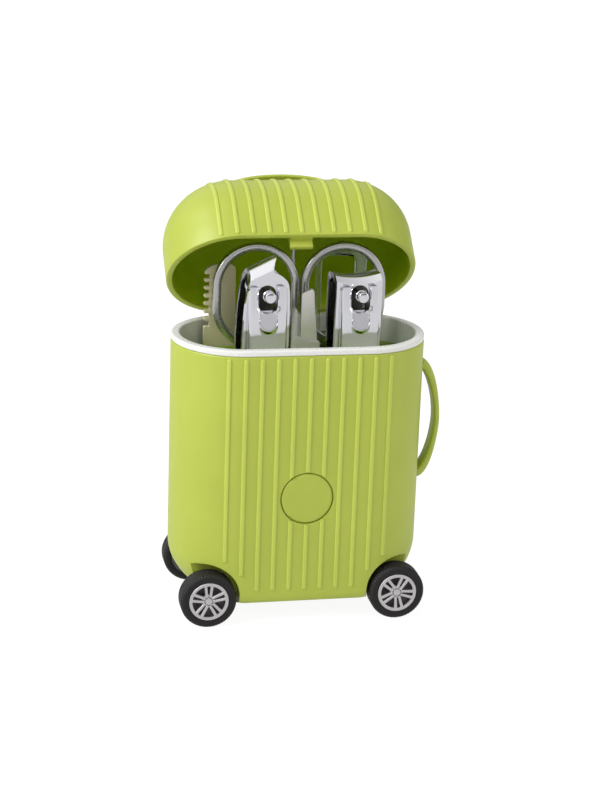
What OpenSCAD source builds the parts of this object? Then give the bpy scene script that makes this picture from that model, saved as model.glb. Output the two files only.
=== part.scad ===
// Manicure set case shaped like a small wheeled suitcase, with its tools inside.
// Millimetres. +Z up, front towards -Y. The origin is the centre of the body's flat
// bottom face, so the tyres reach below it. The lid is drawn swung open by lid_open.

/* [Case] */
// Width of the case, side to side
body_w = 74; // [70:1:90]
// Depth of the case, front to back
body_d = 40.4; // [38:0.2:50]
// Height of the moulded body without the liner's rim
body_h = 74.8; // [70:0.2:92]
// Wall of the moulded body
shell_wall = 1.5; // [1.2:0.1:2]
// Radius of the two lower corners seen from the front
corner_r = 14; // [11:0.5:16]
// Radius of the bottom's front and back edges
edge_r = 2.2; // [1.5:0.1:3]

/* [Liner and tray] */
// Height of the pale rim that shows above the body
rim_h = 1.8; // [1.2:0.1:3]
// Width of that rim
rim_t = 2.6; // [2.4:0.1:3]
// Depth from the body's top to the tool tray's deck
tray_drop = 5.5; // [4:0.5:10]
// Wall of the tray's skirt and pockets
tray_wall = 1; // [0.8:0.1:1.4]
// Room round a tool in its pocket
pocket_gap = 0.6; // [0.4:0.1:1]

/* [Lid] */
// Height of the domed lid
lid_h = 28.5; // [26:0.5:36]
// Radius of the dome's rounded edge
dome_r = 18.5; // [12:0.1:19]
// Wall of the lid
lid_wall = 1.8; // [1.4:0.1:2.2]
// Angle that the lid stands open
lid_open = 48; // [0:0.1:100]
// Width of the catch tongue inside the lid's front
tongue_w = 6.6; // [4:0.2:9]
// How far the tongue reaches below the lid's rim
tongue_drop = 2.2; // [1.6:0.1:4]

/* [Hinge] */
// Distance from the back face to the hinge pin
hinge_out = 1; // [0.9:0.1:2]
// Depth of the hinge pin below the body's top
hinge_drop = 4.4; // [4:0.1:8]
// Radius of the hinge barrels
barrel_r = 1.7; // [1.6:0.1:2.2]
// Length of the lid's middle barrel
lid_barrel = 15; // [10:1:24]
// Length of each barrel on the body
body_barrel = 5; // [4:0.5:8]
// Diameter of the hinge pin
pin_d = 1.2; // [1:0.1:1.6]

/* [Ribs] */
// Number of ribs across the front
rib_count = 11; // [7:2:13]
// Distance between ribs
rib_pitch = 4.66; // [4:0.02:5]
// Width of a rib
rib_w = 1.2; // [0.8:0.1:1.6]
// How far a rib stands proud
rib_proud = 0.4; // [0.2:0.1:0.6]

/* [Wheels] */
// Distance of each axle from the middle
axle_x = 27.9; // [24:0.1:30]
// Height of the axles above the body's bottom face
axle_z = 2; // [0.5:0.1:3]
// Diameter of a tyre
tyre_d = 16.4; // [14:0.2:17]
// Width of a tyre
tyre_w = 6.4; // [5:0.1:7]
// Diameter of a wheel rim
rim_d = 11.6; // [9:0.2:12]
// Diameter of an axle
axle_d = 2; // [1.6:0.1:3]
// How far the wheels stand out of the case's faces
wheel_proud = 0.9; // [0.5:0.1:2]
// Radius of the wheel arches
arch_r = 9.1; // [8.8:0.1:10.5]

/* [Handles and badge] */
// How far the side handle stands out
handle_out = 6.3; // [5:0.1:12]
// Height of the side handle
handle_h = 36.6; // [28:0.2:48]
// Height of its middle above the body's bottom face
handle_z = 49.3; // [40:0.1:54]
// Thickness of its bar
handle_t = 1.8; // [1.5:0.1:3]
// Width of its bar, front to back
handle_w = 5.4; // [4:0.2:8]
// Length of the lid's carry handle
carry_l = 36; // [24:1:40]
// How far the carry handle stands above the lid
carry_out = 6.2; // [5:0.1:9]
// Diameter of the round badge seat
badge_d = 15.6; // [12:0.2:18]
// Height of the badge's middle
badge_z = 32.3; // [26:0.1:45]

/* [Nail clippers] */
// Width of a clipper
clip_w = 13.8; // [12:0.2:14]
// Length of a clipper, tail to jaws
clip_l = 62; // [54:1:66]
// Thickness of a clipper's leaf
leaf_t = 1.3; // [1:0.1:1.6]
// Depth of a clipper's jaws
jaw_d = 8.4; // [7:0.2:9]
// Swing of a lever in its pocket, in degrees
lever_swing = 4; // [1:0.5:4.5]
// Middle of the straight clipper, left to right
straight_x = 15.2; // [14.6:0.2:17]
// Middle of the slanted clipper, left to right
slant_x = -11.6; // [-12:0.1:-9]
// Angle by which both clippers stand turned in the tray
clip_turn = 7; // [0:1:8]
// Height of the straight jaws above the body's top
straight_top = 20.2; // [14:0.2:21]
// Height of the slanted jaws' lower corner above the body's top
slant_top = 20.6; // [14:0.2:21]
// Rise of the slanted jaws to their beak
beak_rise = 4.5; // [3:0.5:5]

/* [Scissors] */
// Middle of the scissors, left to right
scissors_x = 1.5; // [0:0.1:3]
// Middle of the scissors, front to back
scissors_y = 7.5; // [7:0.1:8]
// Width of a finger ring
ring_w = 25.4; // [20:0.2:26]
// Height of a finger ring
ring_h = 31.6; // [26:0.2:33]
// Height of the rings' tops above the body's top
ring_top = 26.4; // [20:0.2:26.6]
// Width of a ring's bar
ring_bar = 2.5; // [2:0.1:3]
// Length of the blades below the pivot
cut_l = 34; // [26:1:36]

/* [Small tools] */
// Height of the comb above the body's top
comb_top = 19.2; // [15:0.2:20]
// Height of the ear pick above the body's top
pick_top = 25; // [18:0.5:25]
// Height of the clear holder above the body's top
holder_top = 22.8; // [16:0.2:23.4]
// Width of the clear holder
holder_w = 15; // [12:0.5:16]
// Height of the flat file above the body's top
file_top = 14.4; // [10:0.2:15]

/* [Hidden] */
$fn = 96;
over = 0.01;                               // how far a cut runs past the face it leaves
run = 0.05;                                // radial clearance of a turning shaft
seat = 0.1;                                // clearance between fixed parts
air = 0.5;                                 // clearance of a wheel from its arch
lime = [0.68, 0.77, 0.30];
steel = [0.80, 0.81, 0.82];

// Case
lower_floor = 1.8;                         // height of the body's inside floor, between the wheel arches
hub_out = 1.5;                             // how far a wheel's hub stands out behind its tyre
arch_deep = tyre_w + hub_out + air - wheel_proud; // depth of an arch from the case's face
arch_up = 0.9;                             // height of an arch's centre above its axle
bay_z = axle_z + arch_up + arch_r + shell_wall;      // the full-width cavity starts above the arches
boss_r = 2.8;                              // radius of the body's axle bearing
boss_l = body_d - 2 * arch_deep;           // its length, between the two arches
rib_foot = 4.2;                            // height at which the middle ribs end
rib_head = 0.6;                            // distance of the ribs' ends from the lid's parting line
rib_off_arch = 2;                          // distance of the outer ribs' ends from an arch
badge_gap = 0.35;                          // groove round the badge disc
badge_t = 0.9;                             // thickness of the badge disc

// Handles
socket_d = 1;                              // depth of the side handle's sockets in the case's end
foot_h = 2.4;                              // height of each of its feet
handle_full = 1.7;                         // fullness of its bow
foot_w = 4;                                // width of each of its feet
foot_z = handle_h / 2 - foot_h / 2 - 0.3;
carry_w = 5.2;                             // width of the carry handle, front to back
carry_t = 1.2;                             // thickness of its bar
carry_foot = 1.8;                          // length of each of its feet
carry_foot_x = carry_l / 2 - carry_foot / 2;
carry_sink = 0.9;                          // depth of its feet in the lid

// Wheels
tyre_face = body_d / 2 + wheel_proud;
axle_l = 2 * tyre_face - 2.4;              // the axles end a little inside the hubs' faces

// Liner and tray
liner_wall = rim_t - shell_wall - seat;
liner_floor = bay_z + 2.4;                 // height of the underside of the liner's floor
floor_t = 1.2;
tray_foot = liner_floor + floor_t + seat;
deck_z = body_h - tray_drop;
deck_t = 1.6;
tray_gap = 0.25;                           // clearance round the tray in the liner

// Lid and hinge
lid_z = body_h + rim_h + seat;
hinge_y = body_d / 2 + hinge_out;
hinge_z = body_h - hinge_drop;
side_gap = 0.25;                           // gap between neighbouring barrels
arm_top = 5;                               // height of the hinge arm's root above the lid's rim
barrel_x = lid_barrel / 2 + side_gap + body_barrel / 2;
flap_w = 33;                               // width of the flap over the joint at the back
flap_t = 1.2;
flap_z = hinge_z + barrel_r + 0.6;         // its lower edge
tongue_t = 1.5;
tongue_y = body_d / 2 - rim_t - 0.25;      // distance of the tongue's outer face from the middle

// Tools
clip_y = -4.2;                             // front to back middle of the clippers' jaws
leaf_gap = 0.5;                            // gap between the leaves at the tail
belly_at = 0.55;                           // share of the length at which a leaf has nearly its full depth
belly_in = 0.6;                            // depth that it still lacks there
post_d = 2.6;
post_drop = 5.8;                           // distance of the post below the jaws
lever_t = 1.2;
lever_w = 11.5;
lever_l = 46;
lever_gap = 0.9;                           // gap between a lever and the leaf below it
head_d = 3.5;
blade_t = 1.4;
half_gap = 0.2;                            // gap between the two scissor blades
ring_gap = 0.4;                            // gap between the two finger rings
pivot_z = body_h + ring_top - ring_h - 16;
screw_r = 0.9;
scissors_room = 26;                        // width of the pocket in which the scissors can part a little
comb_base = 9.2;                           // width of the comb's foot, teeth included
comb_x = -21.3;
comb_y = 12;
comb_t = 1.8;
pick_x = 0.2;
pick_y = 11.7;
pick_r = 0.8;
holder_x = 14.7;
holder_y = 11.8;
holder_t = 2.6;
file_x = 2.1;
file_y = -0.4;
file_w = 5;
file_t = 1.1;
file_deep = 16;                            // depth of the file in its grip below the body's top
grip_w = 8.0;
grip_t = 4.0;
small_z = body_h - 34;                     // height of the small tools' feet
rivet_z = 5;                               // height of a clipper's rivet above its tail
post_z = clip_l - post_drop;
post_front = -jaw_d / 2 - lever_gap - lever_t - 0.9;
straight_foot = body_h + straight_top - clip_l;
slant_foot = body_h + slant_top - clip_l;
clip_back = clip_y + jaw_d / 2;
lever_front = clip_y - jaw_d / 2 - lever_gap - lever_t;
lever_room = (lever_l - 2) * sin(lever_swing);
cut_tip = pivot_z - cut_l;

// ---------- shared outlines ----------

// Plan outline of the case: a straight middle with half-round ends.
module plan(inset = 0) {
  d = body_d - 2 * inset;
  straight = body_w - body_d;
  square([straight, d], center = true);
  for (side = [-1, 1]) translate([side * straight / 2, 0]) circle(d = d);
}

// Elevation with two rounded lower corners, drawn from z = 0 up.
module elevation(w, h, r) {
  translate([-w / 2, r]) square([w, h - r]);
  translate([-w / 2 + r, 0]) square([w - 2 * r, h]);
  for (side = [-1, 1]) translate([side * (w / 2 - r), r]) circle(r = r);
}

// Half of the dome's section, from its axis out to the wall.
module dome_half(inset = 0) {
  d = body_d / 2 - inset;
  h = lid_h - inset;
  r = dome_r - inset;
  intersection() {
    translate([0, min(inset, 0)]) square([d, h - min(inset, 0)]);
    union() {
      translate([0, -1]) square([d, h - r + 1]);
      square([d - r, h]);
      translate([d - r, h - r]) circle(r = r);
    }
  }
}

// The lid's outer or inner form: a straight middle with turned ends.
module dome(inset = 0) {
  straight = body_w - body_d;
  for (side = [-1, 1]) translate([side * straight / 2, 0, 0]) rotate_extrude() dome_half(inset);
  rotate([90, 0, 90]) linear_extrude(straight, center = true) {
    dome_half(inset);
    mirror([1, 0]) dome_half(inset);
  }
}

function rib_x(i) = (i - (rib_count - 1) / 2) * rib_pitch;

// Height at which the rib at x ends above the wheel arch.
function rib_end(x) =
  let (away = abs(abs(x) - axle_x), r = arch_r + rib_off_arch)
  away < r ? max(rib_foot, axle_z + arch_up + sqrt(r * r - away * away)) : rib_foot;

module along_y(r, l) rotate([90, 0, 0]) cylinder(r = r, h = l, center = true);
module along_x(r, l) rotate([0, 90, 0]) cylinder(r = r, h = l, center = true);

// Upright slab through the case, rounded at both ends, that marks out one rib.
module rib_slab(x, low, high) {
  reach = 2 * body_d;
  translate([x - rib_w / 2, -body_d, low + rib_w / 2]) cube([rib_w, reach, high - low - rib_w]);
  for (z = [low + rib_w / 2, high - rib_w / 2]) translate([x, 0, z]) along_y(rib_w / 2, reach);
}

// ---------- case ----------

module body_form() {
  intersection() {
    linear_extrude(body_h) plan();
    rotate([90, 0, 0]) linear_extrude(body_d + 2, center = true) elevation(body_w, body_h, corner_r);
    rotate([90, 0, 90]) linear_extrude(body_w + 2, center = true) elevation(body_d, body_h, edge_r);
  }
}

module body_ribs() {
  low_back = hinge_z - barrel_r - 2;
  intersection() {
    linear_extrude(body_h) plan(-rib_proud);
    union() {
      for (i = [0 : rib_count - 1]) rib_slab(rib_x(i), rib_end(rib_x(i)), body_h - rib_head);
    }
    union() {
      translate([-body_w, -body_d, 0]) cube([2 * body_w, body_d, body_h]);
      translate([-body_w, 0, 0]) cube([2 * body_w, body_d, low_back]);
    }
  }
}

module body_cavity() {
  inner_d = body_d - 2 * shell_wall;
  between = 2 * (axle_x - arch_r - shell_wall);
  lane = boss_l - 2 * shell_wall;
  lane_w = 2 * (axle_x - boss_r - 1.2);
  translate([0, 0, bay_z]) linear_extrude(body_h) plan(shell_wall);
  translate([-between / 2, -inner_d / 2, lower_floor + 0.6]) cube([between, inner_d, bay_z]);
  translate([-lane_w / 2, -lane / 2, lower_floor]) cube([lane_w, lane, bay_z]);
}

module hinge_block(l) {
  translate([-l / 2, body_d / 2 - edge_r / 2, hinge_z - barrel_r - 1.6])
    cube([l, hinge_out + edge_r / 2, barrel_r + 1.6]);
  translate([0, hinge_y, hinge_z]) along_x(barrel_r, l);
}

module body_shell() color(lime) difference() {
  union() {
    difference() {
      union() {
        body_form();
        body_ribs();
        for (side = [-1, 1]) translate([side * axle_x, 0, axle_z]) along_y(boss_r, boss_l);
        for (side = [-1, 1]) translate([side * barrel_x, 0, 0]) hinge_block(body_barrel);
      }
      body_cavity();
    }
  }
  // wheel arches and axle bores
  for (side = [-1, 1]) translate([side * axle_x, 0, axle_z]) {
    along_y(axle_d / 2 + run, body_d);
    for (face = [-1, 1])
      translate([0, face * (boss_l / 2 + body_d / 2), arch_up]) along_y(arch_r, body_d);
  }
  // badge seat, with the ribs cut away round it
  translate([0, -body_d / 2, badge_z]) {
    along_y(badge_d / 2, 2 * badge_t);
    translate([0, -rib_proud - over, 0]) along_y(badge_d / 2 + badge_gap, 2 * rib_proud);
  }
  // room for the lid's barrel, and the pin's bore
  translate([0, hinge_y, hinge_z]) {
    along_x(barrel_r + side_gap, lid_barrel + 2 * side_gap);
    along_x(pin_d / 2 + over, 2 * lid_barrel);
  }
  // sockets for the side handle's feet
  for (end = [-1, 1]) translate([body_w / 2 - socket_d, 0, handle_z + end * foot_z])
    translate([0, -foot_w / 2 - seat, -foot_h / 2 - seat])
      cube([2 * socket_d, foot_w + 2 * seat, foot_h + 2 * seat]);
}

module liner() color([0.93, 0.94, 0.93]) difference() {
  union() {
    translate([0, 0, body_h]) linear_extrude(rim_h) plan();
    translate([0, 0, liner_floor]) linear_extrude(body_h + over - liner_floor) plan(shell_wall + seat);
  }
  translate([0, 0, liner_floor + floor_t]) linear_extrude(body_h) plan(rim_t);
}

module badge_disc() color(lime)
  translate([0, -body_d / 2 + badge_t / 2, badge_z]) along_y(badge_d / 2 - badge_gap, badge_t);

// Points of a flattened bow that stands on its chord: half its length, its height, and
// how full it is, where 2 is an ellipse.
function bow_points(half, out, full) = [for (a = [0 : 6 : 180])
  [half * sign(cos(a)) * pow(abs(cos(a)), 2 / full), out * pow(sin(a), 2 / full)]];

// The side handle: a bowed bar with a foot at each end.
module side_handle() color(lime) {
  translate([body_w / 2, 0, handle_z]) rotate([90, 0, 0]) linear_extrude(handle_w, center = true)
    rotate(-90) difference() {
      polygon(bow_points(handle_h / 2, handle_out, handle_full));
      polygon(bow_points(handle_h / 2 - 1.6 * handle_t, handle_out - handle_t, handle_full));
      translate([-handle_h, -handle_h]) square([2 * handle_h, handle_h + seat]);
    }
  for (end = [-1, 1])
    translate([body_w / 2 - socket_d + seat, -foot_w / 2, handle_z + end * foot_z - foot_h / 2])
      cube([socket_d + 0.6, foot_w, foot_h]);
}

module hinge_pin() color(steel)
  translate([0, hinge_y, hinge_z]) along_x(pin_d / 2, lid_barrel + 2 * (side_gap + body_barrel));

// ---------- lid ----------

// Moves a piece drawn for the shut lid to where the open lid holds it.
module swung() {
  translate([0, hinge_y, hinge_z]) rotate([-lid_open, 0, 0]) translate([0, -hinge_y, -hinge_z])
    children();
}

module lid_ribs() {
  intersection() {
    dome(-rib_proud);
    for (i = [0 : rib_count - 1])
      translate([rib_x(i) - rib_w / 2, -body_d, rib_head]) cube([rib_w, 2 * body_d, 2 * lid_h]);
  }
}

module hinge_arm() {
  inner = body_d / 2 + 0.3;
  translate([-lid_barrel / 2, inner, hinge_z])
    cube([lid_barrel, hinge_y + barrel_r - inner, lid_z - hinge_z + over]);
  translate([-lid_barrel / 2, body_d / 2 - lid_wall / 2, lid_z])
    cube([lid_barrel, hinge_out + barrel_r + lid_wall / 2, arm_top]);
  translate([0, hinge_y, hinge_z]) along_x(barrel_r, lid_barrel);
  // flap that covers the joint at the back, above the barrels
  translate([-flap_w / 2, inner, flap_z]) cube([flap_w, flap_t, lid_z - flap_z + over]);
  translate([-flap_w / 2, body_d / 2 - lid_wall / 2, lid_z])
    cube([flap_w, inner + flap_t - body_d / 2 + lid_wall / 2, flap_t]);
}

module lid_shell() color(lime) swung() {
  difference() {
    union() {
      translate([0, 0, lid_z]) dome();
      translate([0, 0, lid_z]) lid_ribs();
      difference() {
        hinge_arm();
        translate([0, 0, hinge_z]) cube([body_w, body_d + 0.6, 2 * (barrel_r + 0.4)], center = true);
      }
      translate([0, hinge_y, hinge_z]) along_x(barrel_r, lid_barrel);
    }
    translate([0, 0, lid_z]) dome(lid_wall);
    translate([0, 0, lid_z - lid_h]) linear_extrude(lid_h + over) plan(lid_wall);
    translate([0, hinge_y, hinge_z]) along_x(pin_d / 2 + run, 2 * lid_barrel);
    // sockets for the carry handle's feet
    for (end = [-1, 1]) translate([end * carry_foot_x, 0, lid_z + lid_h])
      cube([carry_foot + 2 * seat, carry_w + 2 * seat, 2 * carry_sink], center = true);
  }
  // catch tongue behind the front wall
  translate([-tongue_w / 2, -tongue_y, lid_z - tongue_drop])
    cube([tongue_w, tongue_t, tongue_drop + 3]);
  translate([-tongue_w / 2, -body_d / 2 + lid_wall - 0.2, lid_z])
    cube([tongue_w, body_d / 2 - lid_wall + 0.2 - tongue_y + tongue_t, 3]);
}

module carry_handle() color(lime) swung() translate([0, 0, lid_z + lid_h]) {
  rotate([90, 0, 0]) linear_extrude(carry_w, center = true) difference() {
    polygon(bow_points(carry_l / 2, carry_out, 2));
    polygon(bow_points(carry_l / 2 - 1.5 * carry_t, carry_out - carry_t, 2));
    translate([-carry_l, -carry_l]) square([2 * carry_l, carry_l + rib_proud + seat]);
  }
  for (end = [-1, 1]) translate([end * carry_foot_x, 0, 0])
    translate([-carry_foot / 2, -carry_w / 2, -carry_sink + seat])
      cube([carry_foot, carry_w, carry_sink + rib_proud + 0.6]);
}

// ---------- wheels ----------

module axle(side) color(steel) translate([side * axle_x, 0, axle_z]) along_y(axle_d / 2, axle_l);

// Places a wheel part drawn about +Z, with its outer face at z = 0, on an axle's end.
module on_axle(side, face) {
  translate([side * axle_x, face * tyre_face, axle_z]) rotate([face < 0 ? 90 : -90, 0, 0]) children();
}

module tyre(side, face) color([0.16, 0.15, 0.16]) on_axle(side, face) {
  shoulder = 1.3;
  rotate_extrude() difference() {
    union() {
      translate([0, -tyre_w + shoulder]) square([tyre_d / 2, tyre_w - 2 * shoulder]);
      translate([0, -tyre_w]) square([tyre_d / 2 - shoulder, tyre_w]);
      for (z = [-shoulder, -tyre_w + shoulder])
        translate([tyre_d / 2 - shoulder, z]) circle(r = shoulder);
    }
    translate([-over, -tyre_w - 1]) square([rim_d / 2 + over, tyre_w + 2]);
  }
}

module rim(side, face) color([0.75, 0.74, 0.74]) on_axle(side, face) {
  spoke_w = 0.9;
  spoke_t = 1.5;
  dish = 0.7;
  lip = 0.75;
  web_z = 3.6;                             // depth of the closed web behind the spokes
  web_t = 1;
  difference() {
    union() {
      translate([0, 0, -tyre_w]) difference() {
        cylinder(d = rim_d, h = tyre_w);
        translate([0, 0, -1]) cylinder(d = rim_d - 2 * lip, h = tyre_w + 2);
      }
      translate([0, 0, -tyre_w - hub_out]) cylinder(d = 3.8, h = tyre_w + hub_out - dish);
      translate([0, 0, -web_z]) cylinder(d = rim_d - lip, h = web_t);
      for (i = [0 : 4], lean = [-1, 1]) rotate(i * 72 + lean * 13)
        translate([1, -spoke_w / 2 + lean * 0.35, -dish - spoke_t])
          cube([rim_d / 2 - lip - 0.7, spoke_w, spoke_t]);
    }
    translate([0, 0, -tyre_w - hub_out - 1])
      cylinder(d = axle_d, h = tyre_w + hub_out + 0.6 - dish);
  }
}

// ---------- tool tray ----------

// Each pocket is [x, y, width, depth front to back, floor height, turn]. The fourth is a
// shallow groove in the deck, which takes the finger rings when the scissors part.
clip_pocket_d = clip_back - lever_front + lever_room + 2 * pocket_gap;
clip_pocket_out = clip_y - (clip_back + lever_front - lever_room) / 2;
function clip_pocket(x, foot) = [
  x + clip_pocket_out * sin(clip_turn), clip_y - clip_pocket_out * cos(clip_turn),
  clip_w + 2 * pocket_gap, clip_pocket_d, foot, clip_turn];
pockets = [
  clip_pocket(straight_x, straight_foot),
  clip_pocket(slant_x, slant_foot),
  [scissors_x, scissors_y, scissors_room, 2 * blade_t + half_gap + 1.4, cut_tip, 0],
  [scissors_x, scissors_y, 2 * ring_w - 8, 2 * blade_t + half_gap + 1.4, deck_z - 1.2, 0],
  [file_x, file_y, grip_w + 2 * pocket_gap, grip_t + pocket_gap, small_z, 0],
  [pick_x, pick_y, 2 * pick_r + pocket_gap, 2 * pick_r + pocket_gap, small_z, 0],
  [comb_x, comb_y, comb_base + 2 * pocket_gap, comb_t + pocket_gap, small_z, 0],
  [holder_x, holder_y, holder_w + pocket_gap, holder_t + pocket_gap, small_z, 0]];

module pocket_box(p, grow, top) {
  foot = max(p[4] - seat, tray_foot + floor_t) - grow;
  translate([p[0], p[1], foot]) rotate(p[5]) translate([-p[2] / 2 - grow, -p[3] / 2 - grow, 0])
    cube([p[2] + 2 * grow, p[3] + 2 * grow, top - foot]);
}

module tool_tray() color([0.30, 0.42, 0.05]) difference() {
  intersection() {
    union() {
      translate([0, 0, tray_foot]) difference() {
        linear_extrude(deck_z - tray_foot) plan(rim_t + tray_gap);
        translate([0, 0, -1]) linear_extrude(deck_z - tray_foot + 1 - deck_t)
          plan(rim_t + tray_gap + tray_wall);
      }
      for (p = pockets) pocket_box(p, tray_wall, deck_z - over);
    }
    translate([0, 0, tray_foot]) linear_extrude(deck_z - tray_foot) plan(rim_t + tray_gap);
  }
  for (p = pockets) pocket_box(p, 0, deck_z + 1);
}

// ---------- nail clippers ----------

// Side view of one leaf: y from the leaves' meeting plane outwards, z from the tail up.
module leaf_side(top) {
  belly = jaw_d / 2;
  polygon([
    [leaf_gap / 2, 0], [leaf_gap / 2 + leaf_t, 0], [belly - belly_in, clip_l * belly_at],
    [belly, clip_l - 8], [belly, top], [0.12, top], [0.12, clip_l - 8], [belly - leaf_t, clip_l - 8],
    [belly - belly_in - leaf_t, clip_l * belly_at], [leaf_gap / 2, 6]]);
}

// Front view of the straight leaf, its edge a little hollow.
module straight_front() {
  half = clip_w / 2;
  polygon([[-half + 1.6, 0], [half - 1.6, 0], [half, clip_l / 2], [half, clip_l],
    [half / 2, clip_l - 0.75], [0, clip_l - 1], [-half / 2, clip_l - 0.75],
    [-half, clip_l], [-half, clip_l / 2]]);
}

// Front view of the slanted leaf, with its beak on the right.
module slant_front() {
  half = clip_w / 2;
  polygon([[-half + 1.6, 0], [half - 1.6, 0], [half, clip_l / 2], [half, clip_l - 8],
    [half - 0.15, clip_l - 4.9], [half - 0.7, clip_l - 2.6], [half - 1.9, clip_l - 0.9],
    [half - 3.6, clip_l + 0.3], [half - 4.9, clip_l + 1.2], [half - 4.1, clip_l + beak_rise - 1.6],
    [half - 3.3, clip_l + beak_rise + 1], [-half + 2.2, clip_l + beak_rise],
    [-half + 2.2, clip_l + 1], [-half + 1.6, clip_l - 1.8], [-half + 0.9, clip_l - 5.3],
    [-half + 0.3, clip_l - 10.2], [-half, clip_l / 2]]);
}

// All that lies above a jaw's ground face; dip is its fall outwards, lean its rise to the beak.
module above_jaw(z, dip, lean) {
  reach = 2 * clip_w;
  translate([0, 0, z]) rotate([-dip, -lean, 0])
    translate([-reach, -reach, 0]) cube([2 * reach, 2 * reach, clip_l]);
}

// One leaf: a strip that widens into a hollow jaw under the ground face.
module leaf(slanted) {
  dip = slanted ? 29.5 : 18.9;
  lean = slanted ? 23.3 : 0;
  face = clip_l + (slanted ? beak_rise - 1.5 : 0);
  difference() {
    intersection() {
      rotate([90, 0, 90]) linear_extrude(clip_w + 2, center = true) leaf_side(clip_l + beak_rise + 2);
      rotate([90, 0, 0]) linear_extrude(3 * jaw_d, center = true) {
        if (slanted) slant_front();
        else straight_front();
      }
    }
    above_jaw(face, dip, lean);
    difference() {
      translate([-clip_w, -1, clip_l - 8 - over]) cube([2 * clip_w, jaw_d / 2 - leaf_t + 1, 3 * jaw_d]);
      above_jaw(face - 1.6, dip, lean);
    }
  }
}

module at_clipper(x, foot) translate([x, clip_y, foot]) rotate(clip_turn) children();

module leaf_holes(post_r) {
  translate([0, 0, post_z]) along_y(post_r, 3 * jaw_d);
  translate([0, 0, rivet_z]) along_y(0.8, 3 * jaw_d);
}

module upper_leaf(slanted) color(steel) difference() {
  mirror([0, 1, 0]) leaf(slanted);
  leaf_holes(post_d);
  // slot below the post, behind the lever's notch
  translate([0.4 - post_d, -jaw_d, post_z - 4.4]) cube([2 * post_d - 0.8, jaw_d, 4.4]);
}

module lower_leaf(slanted) color(steel) difference() {
  leaf(slanted);
  leaf_holes(post_d / 2 + 0.15);
}

module post() color(steel) translate([0, 0, post_z]) {
  back = jaw_d / 2 - leaf_t + 0.2;
  translate([0, (back + post_front) / 2, 0]) along_y(post_d / 2 - 0.3, back - post_front);
  translate([0, post_front - 0.2, 0]) along_y(head_d / 2, 1.2);
  translate([0, jaw_d / 2 + 0.35, 0]) along_y(head_d / 2, 0.5);
  translate([0, jaw_d / 2 - 0.4, 0]) along_y(post_d / 2 - 0.3, 1.4);
}

// The tail rivet; its heads lie on the leaves, which spread from the tail up.
module rivet() color(steel) translate([0, 0, rivet_z]) {
  flat = leaf_gap / 2 + leaf_t;
  spread = (jaw_d / 2 - belly_in - flat) / (belly_at * clip_l);
  reach = flat + spread * (rivet_z + 1.4);
  along_y(0.8, 2 * reach);
  for (face = [-1, 1]) translate([0, face * (reach + 0.2), 0]) along_y(1.4, 0.4);
}

// The lever lies in front of the upper leaf with its fork round the post.
module lever() color(steel) {
  top = post_z + 2.7;
  front = -jaw_d / 2 - lever_gap - lever_t;
  half = lever_w / 2;
  prong = 2.9;                             // width of each side of the fork
  notch = 2.4;                             // distance of the notch's round end below the post
  difference() {
    translate([0, front + lever_t, 0]) rotate([90, 0, 0]) linear_extrude(lever_t) difference() {
      polygon([[-half + 1, top - lever_l], [half - 1, top - lever_l], [half, top - 16],
        [half, top - 1], [half - 1.2, top], [-half + 1.2, top], [-half, top - 1], [-half, top - 16]]);
      translate([-half + prong, post_z - notch]) square([lever_w - 2 * prong, 10]);
      translate([0, post_z - notch]) circle(r = half - prong);
    }
  }
}

module straight_upper_leaf() at_clipper(straight_x, straight_foot) upper_leaf(false);
module straight_lower_leaf() at_clipper(straight_x, straight_foot) lower_leaf(false);
module straight_post() at_clipper(straight_x, straight_foot) post();
module straight_rivet() at_clipper(straight_x, straight_foot) rivet();
module straight_lever() at_clipper(straight_x, straight_foot) lever();
module slant_upper_leaf() at_clipper(slant_x, slant_foot) upper_leaf(true);
module slant_lower_leaf() at_clipper(slant_x, slant_foot) lower_leaf(true);
module slant_post() at_clipper(slant_x, slant_foot) post();
module slant_rivet() at_clipper(slant_x, slant_foot) rivet();
module slant_lever() at_clipper(slant_x, slant_foot) lever();

// ---------- scissors ----------

module ring_outline(inset) {
  w = ring_w - 2 * inset;
  straight = ring_h - ring_w;
  square([w, straight], center = true);
  for (end = [-1, 1]) translate([0, end * straight / 2]) circle(d = w);
}

// One half drawn for the left ring, in the plane of the blades; the pivot is the origin.
module scissor_outline(part) {
  ring_z = body_h + ring_top - ring_h / 2 - pivot_z;
  ring_x = -(ring_w + ring_gap) / 2;
  low = ring_z - ring_h / 2;
  if (part == "ring") {
    translate([ring_x, ring_z]) difference() {
      ring_outline(0);
      ring_outline(ring_bar);
    }
    polygon([[ring_x + 1, low + 0.4], [ring_x + 8, low + 2.2], [-1.2, 5], [-4.6, 4]]);
  }
  if (part == "blade") {
    polygon([[-4.6, 4], [-1.2, 5], [3.2, 2], [3.6, -4], [2.4, -cut_l + 4], [0.4, -cut_l],
      [-0.6, -cut_l + 3], [-3.4, -3]]);
  }
}

module scissor_half(side, layer) color(steel) translate([scissors_x, scissors_y, pivot_z])
  mirror([side > 0 ? 1 : 0, 0, 0]) difference() {
    union() {
      rotate([90, 0, 0]) linear_extrude(2 * blade_t + half_gap, center = true) intersection() {
        scissor_outline("ring");
        translate([-2 * ring_w, 5.2]) square([2 * ring_w, 3 * ring_h]);
      }
      translate([0, layer * (blade_t + half_gap) / 2, 0]) rotate([90, 0, 0])
        linear_extrude(blade_t, center = true) {
          scissor_outline("blade");
          intersection() {
            scissor_outline("ring");
            translate([-10, 3]) square([10, 3]);
          }
        }
    }
    along_y(screw_r + run, 10);
  }

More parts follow.
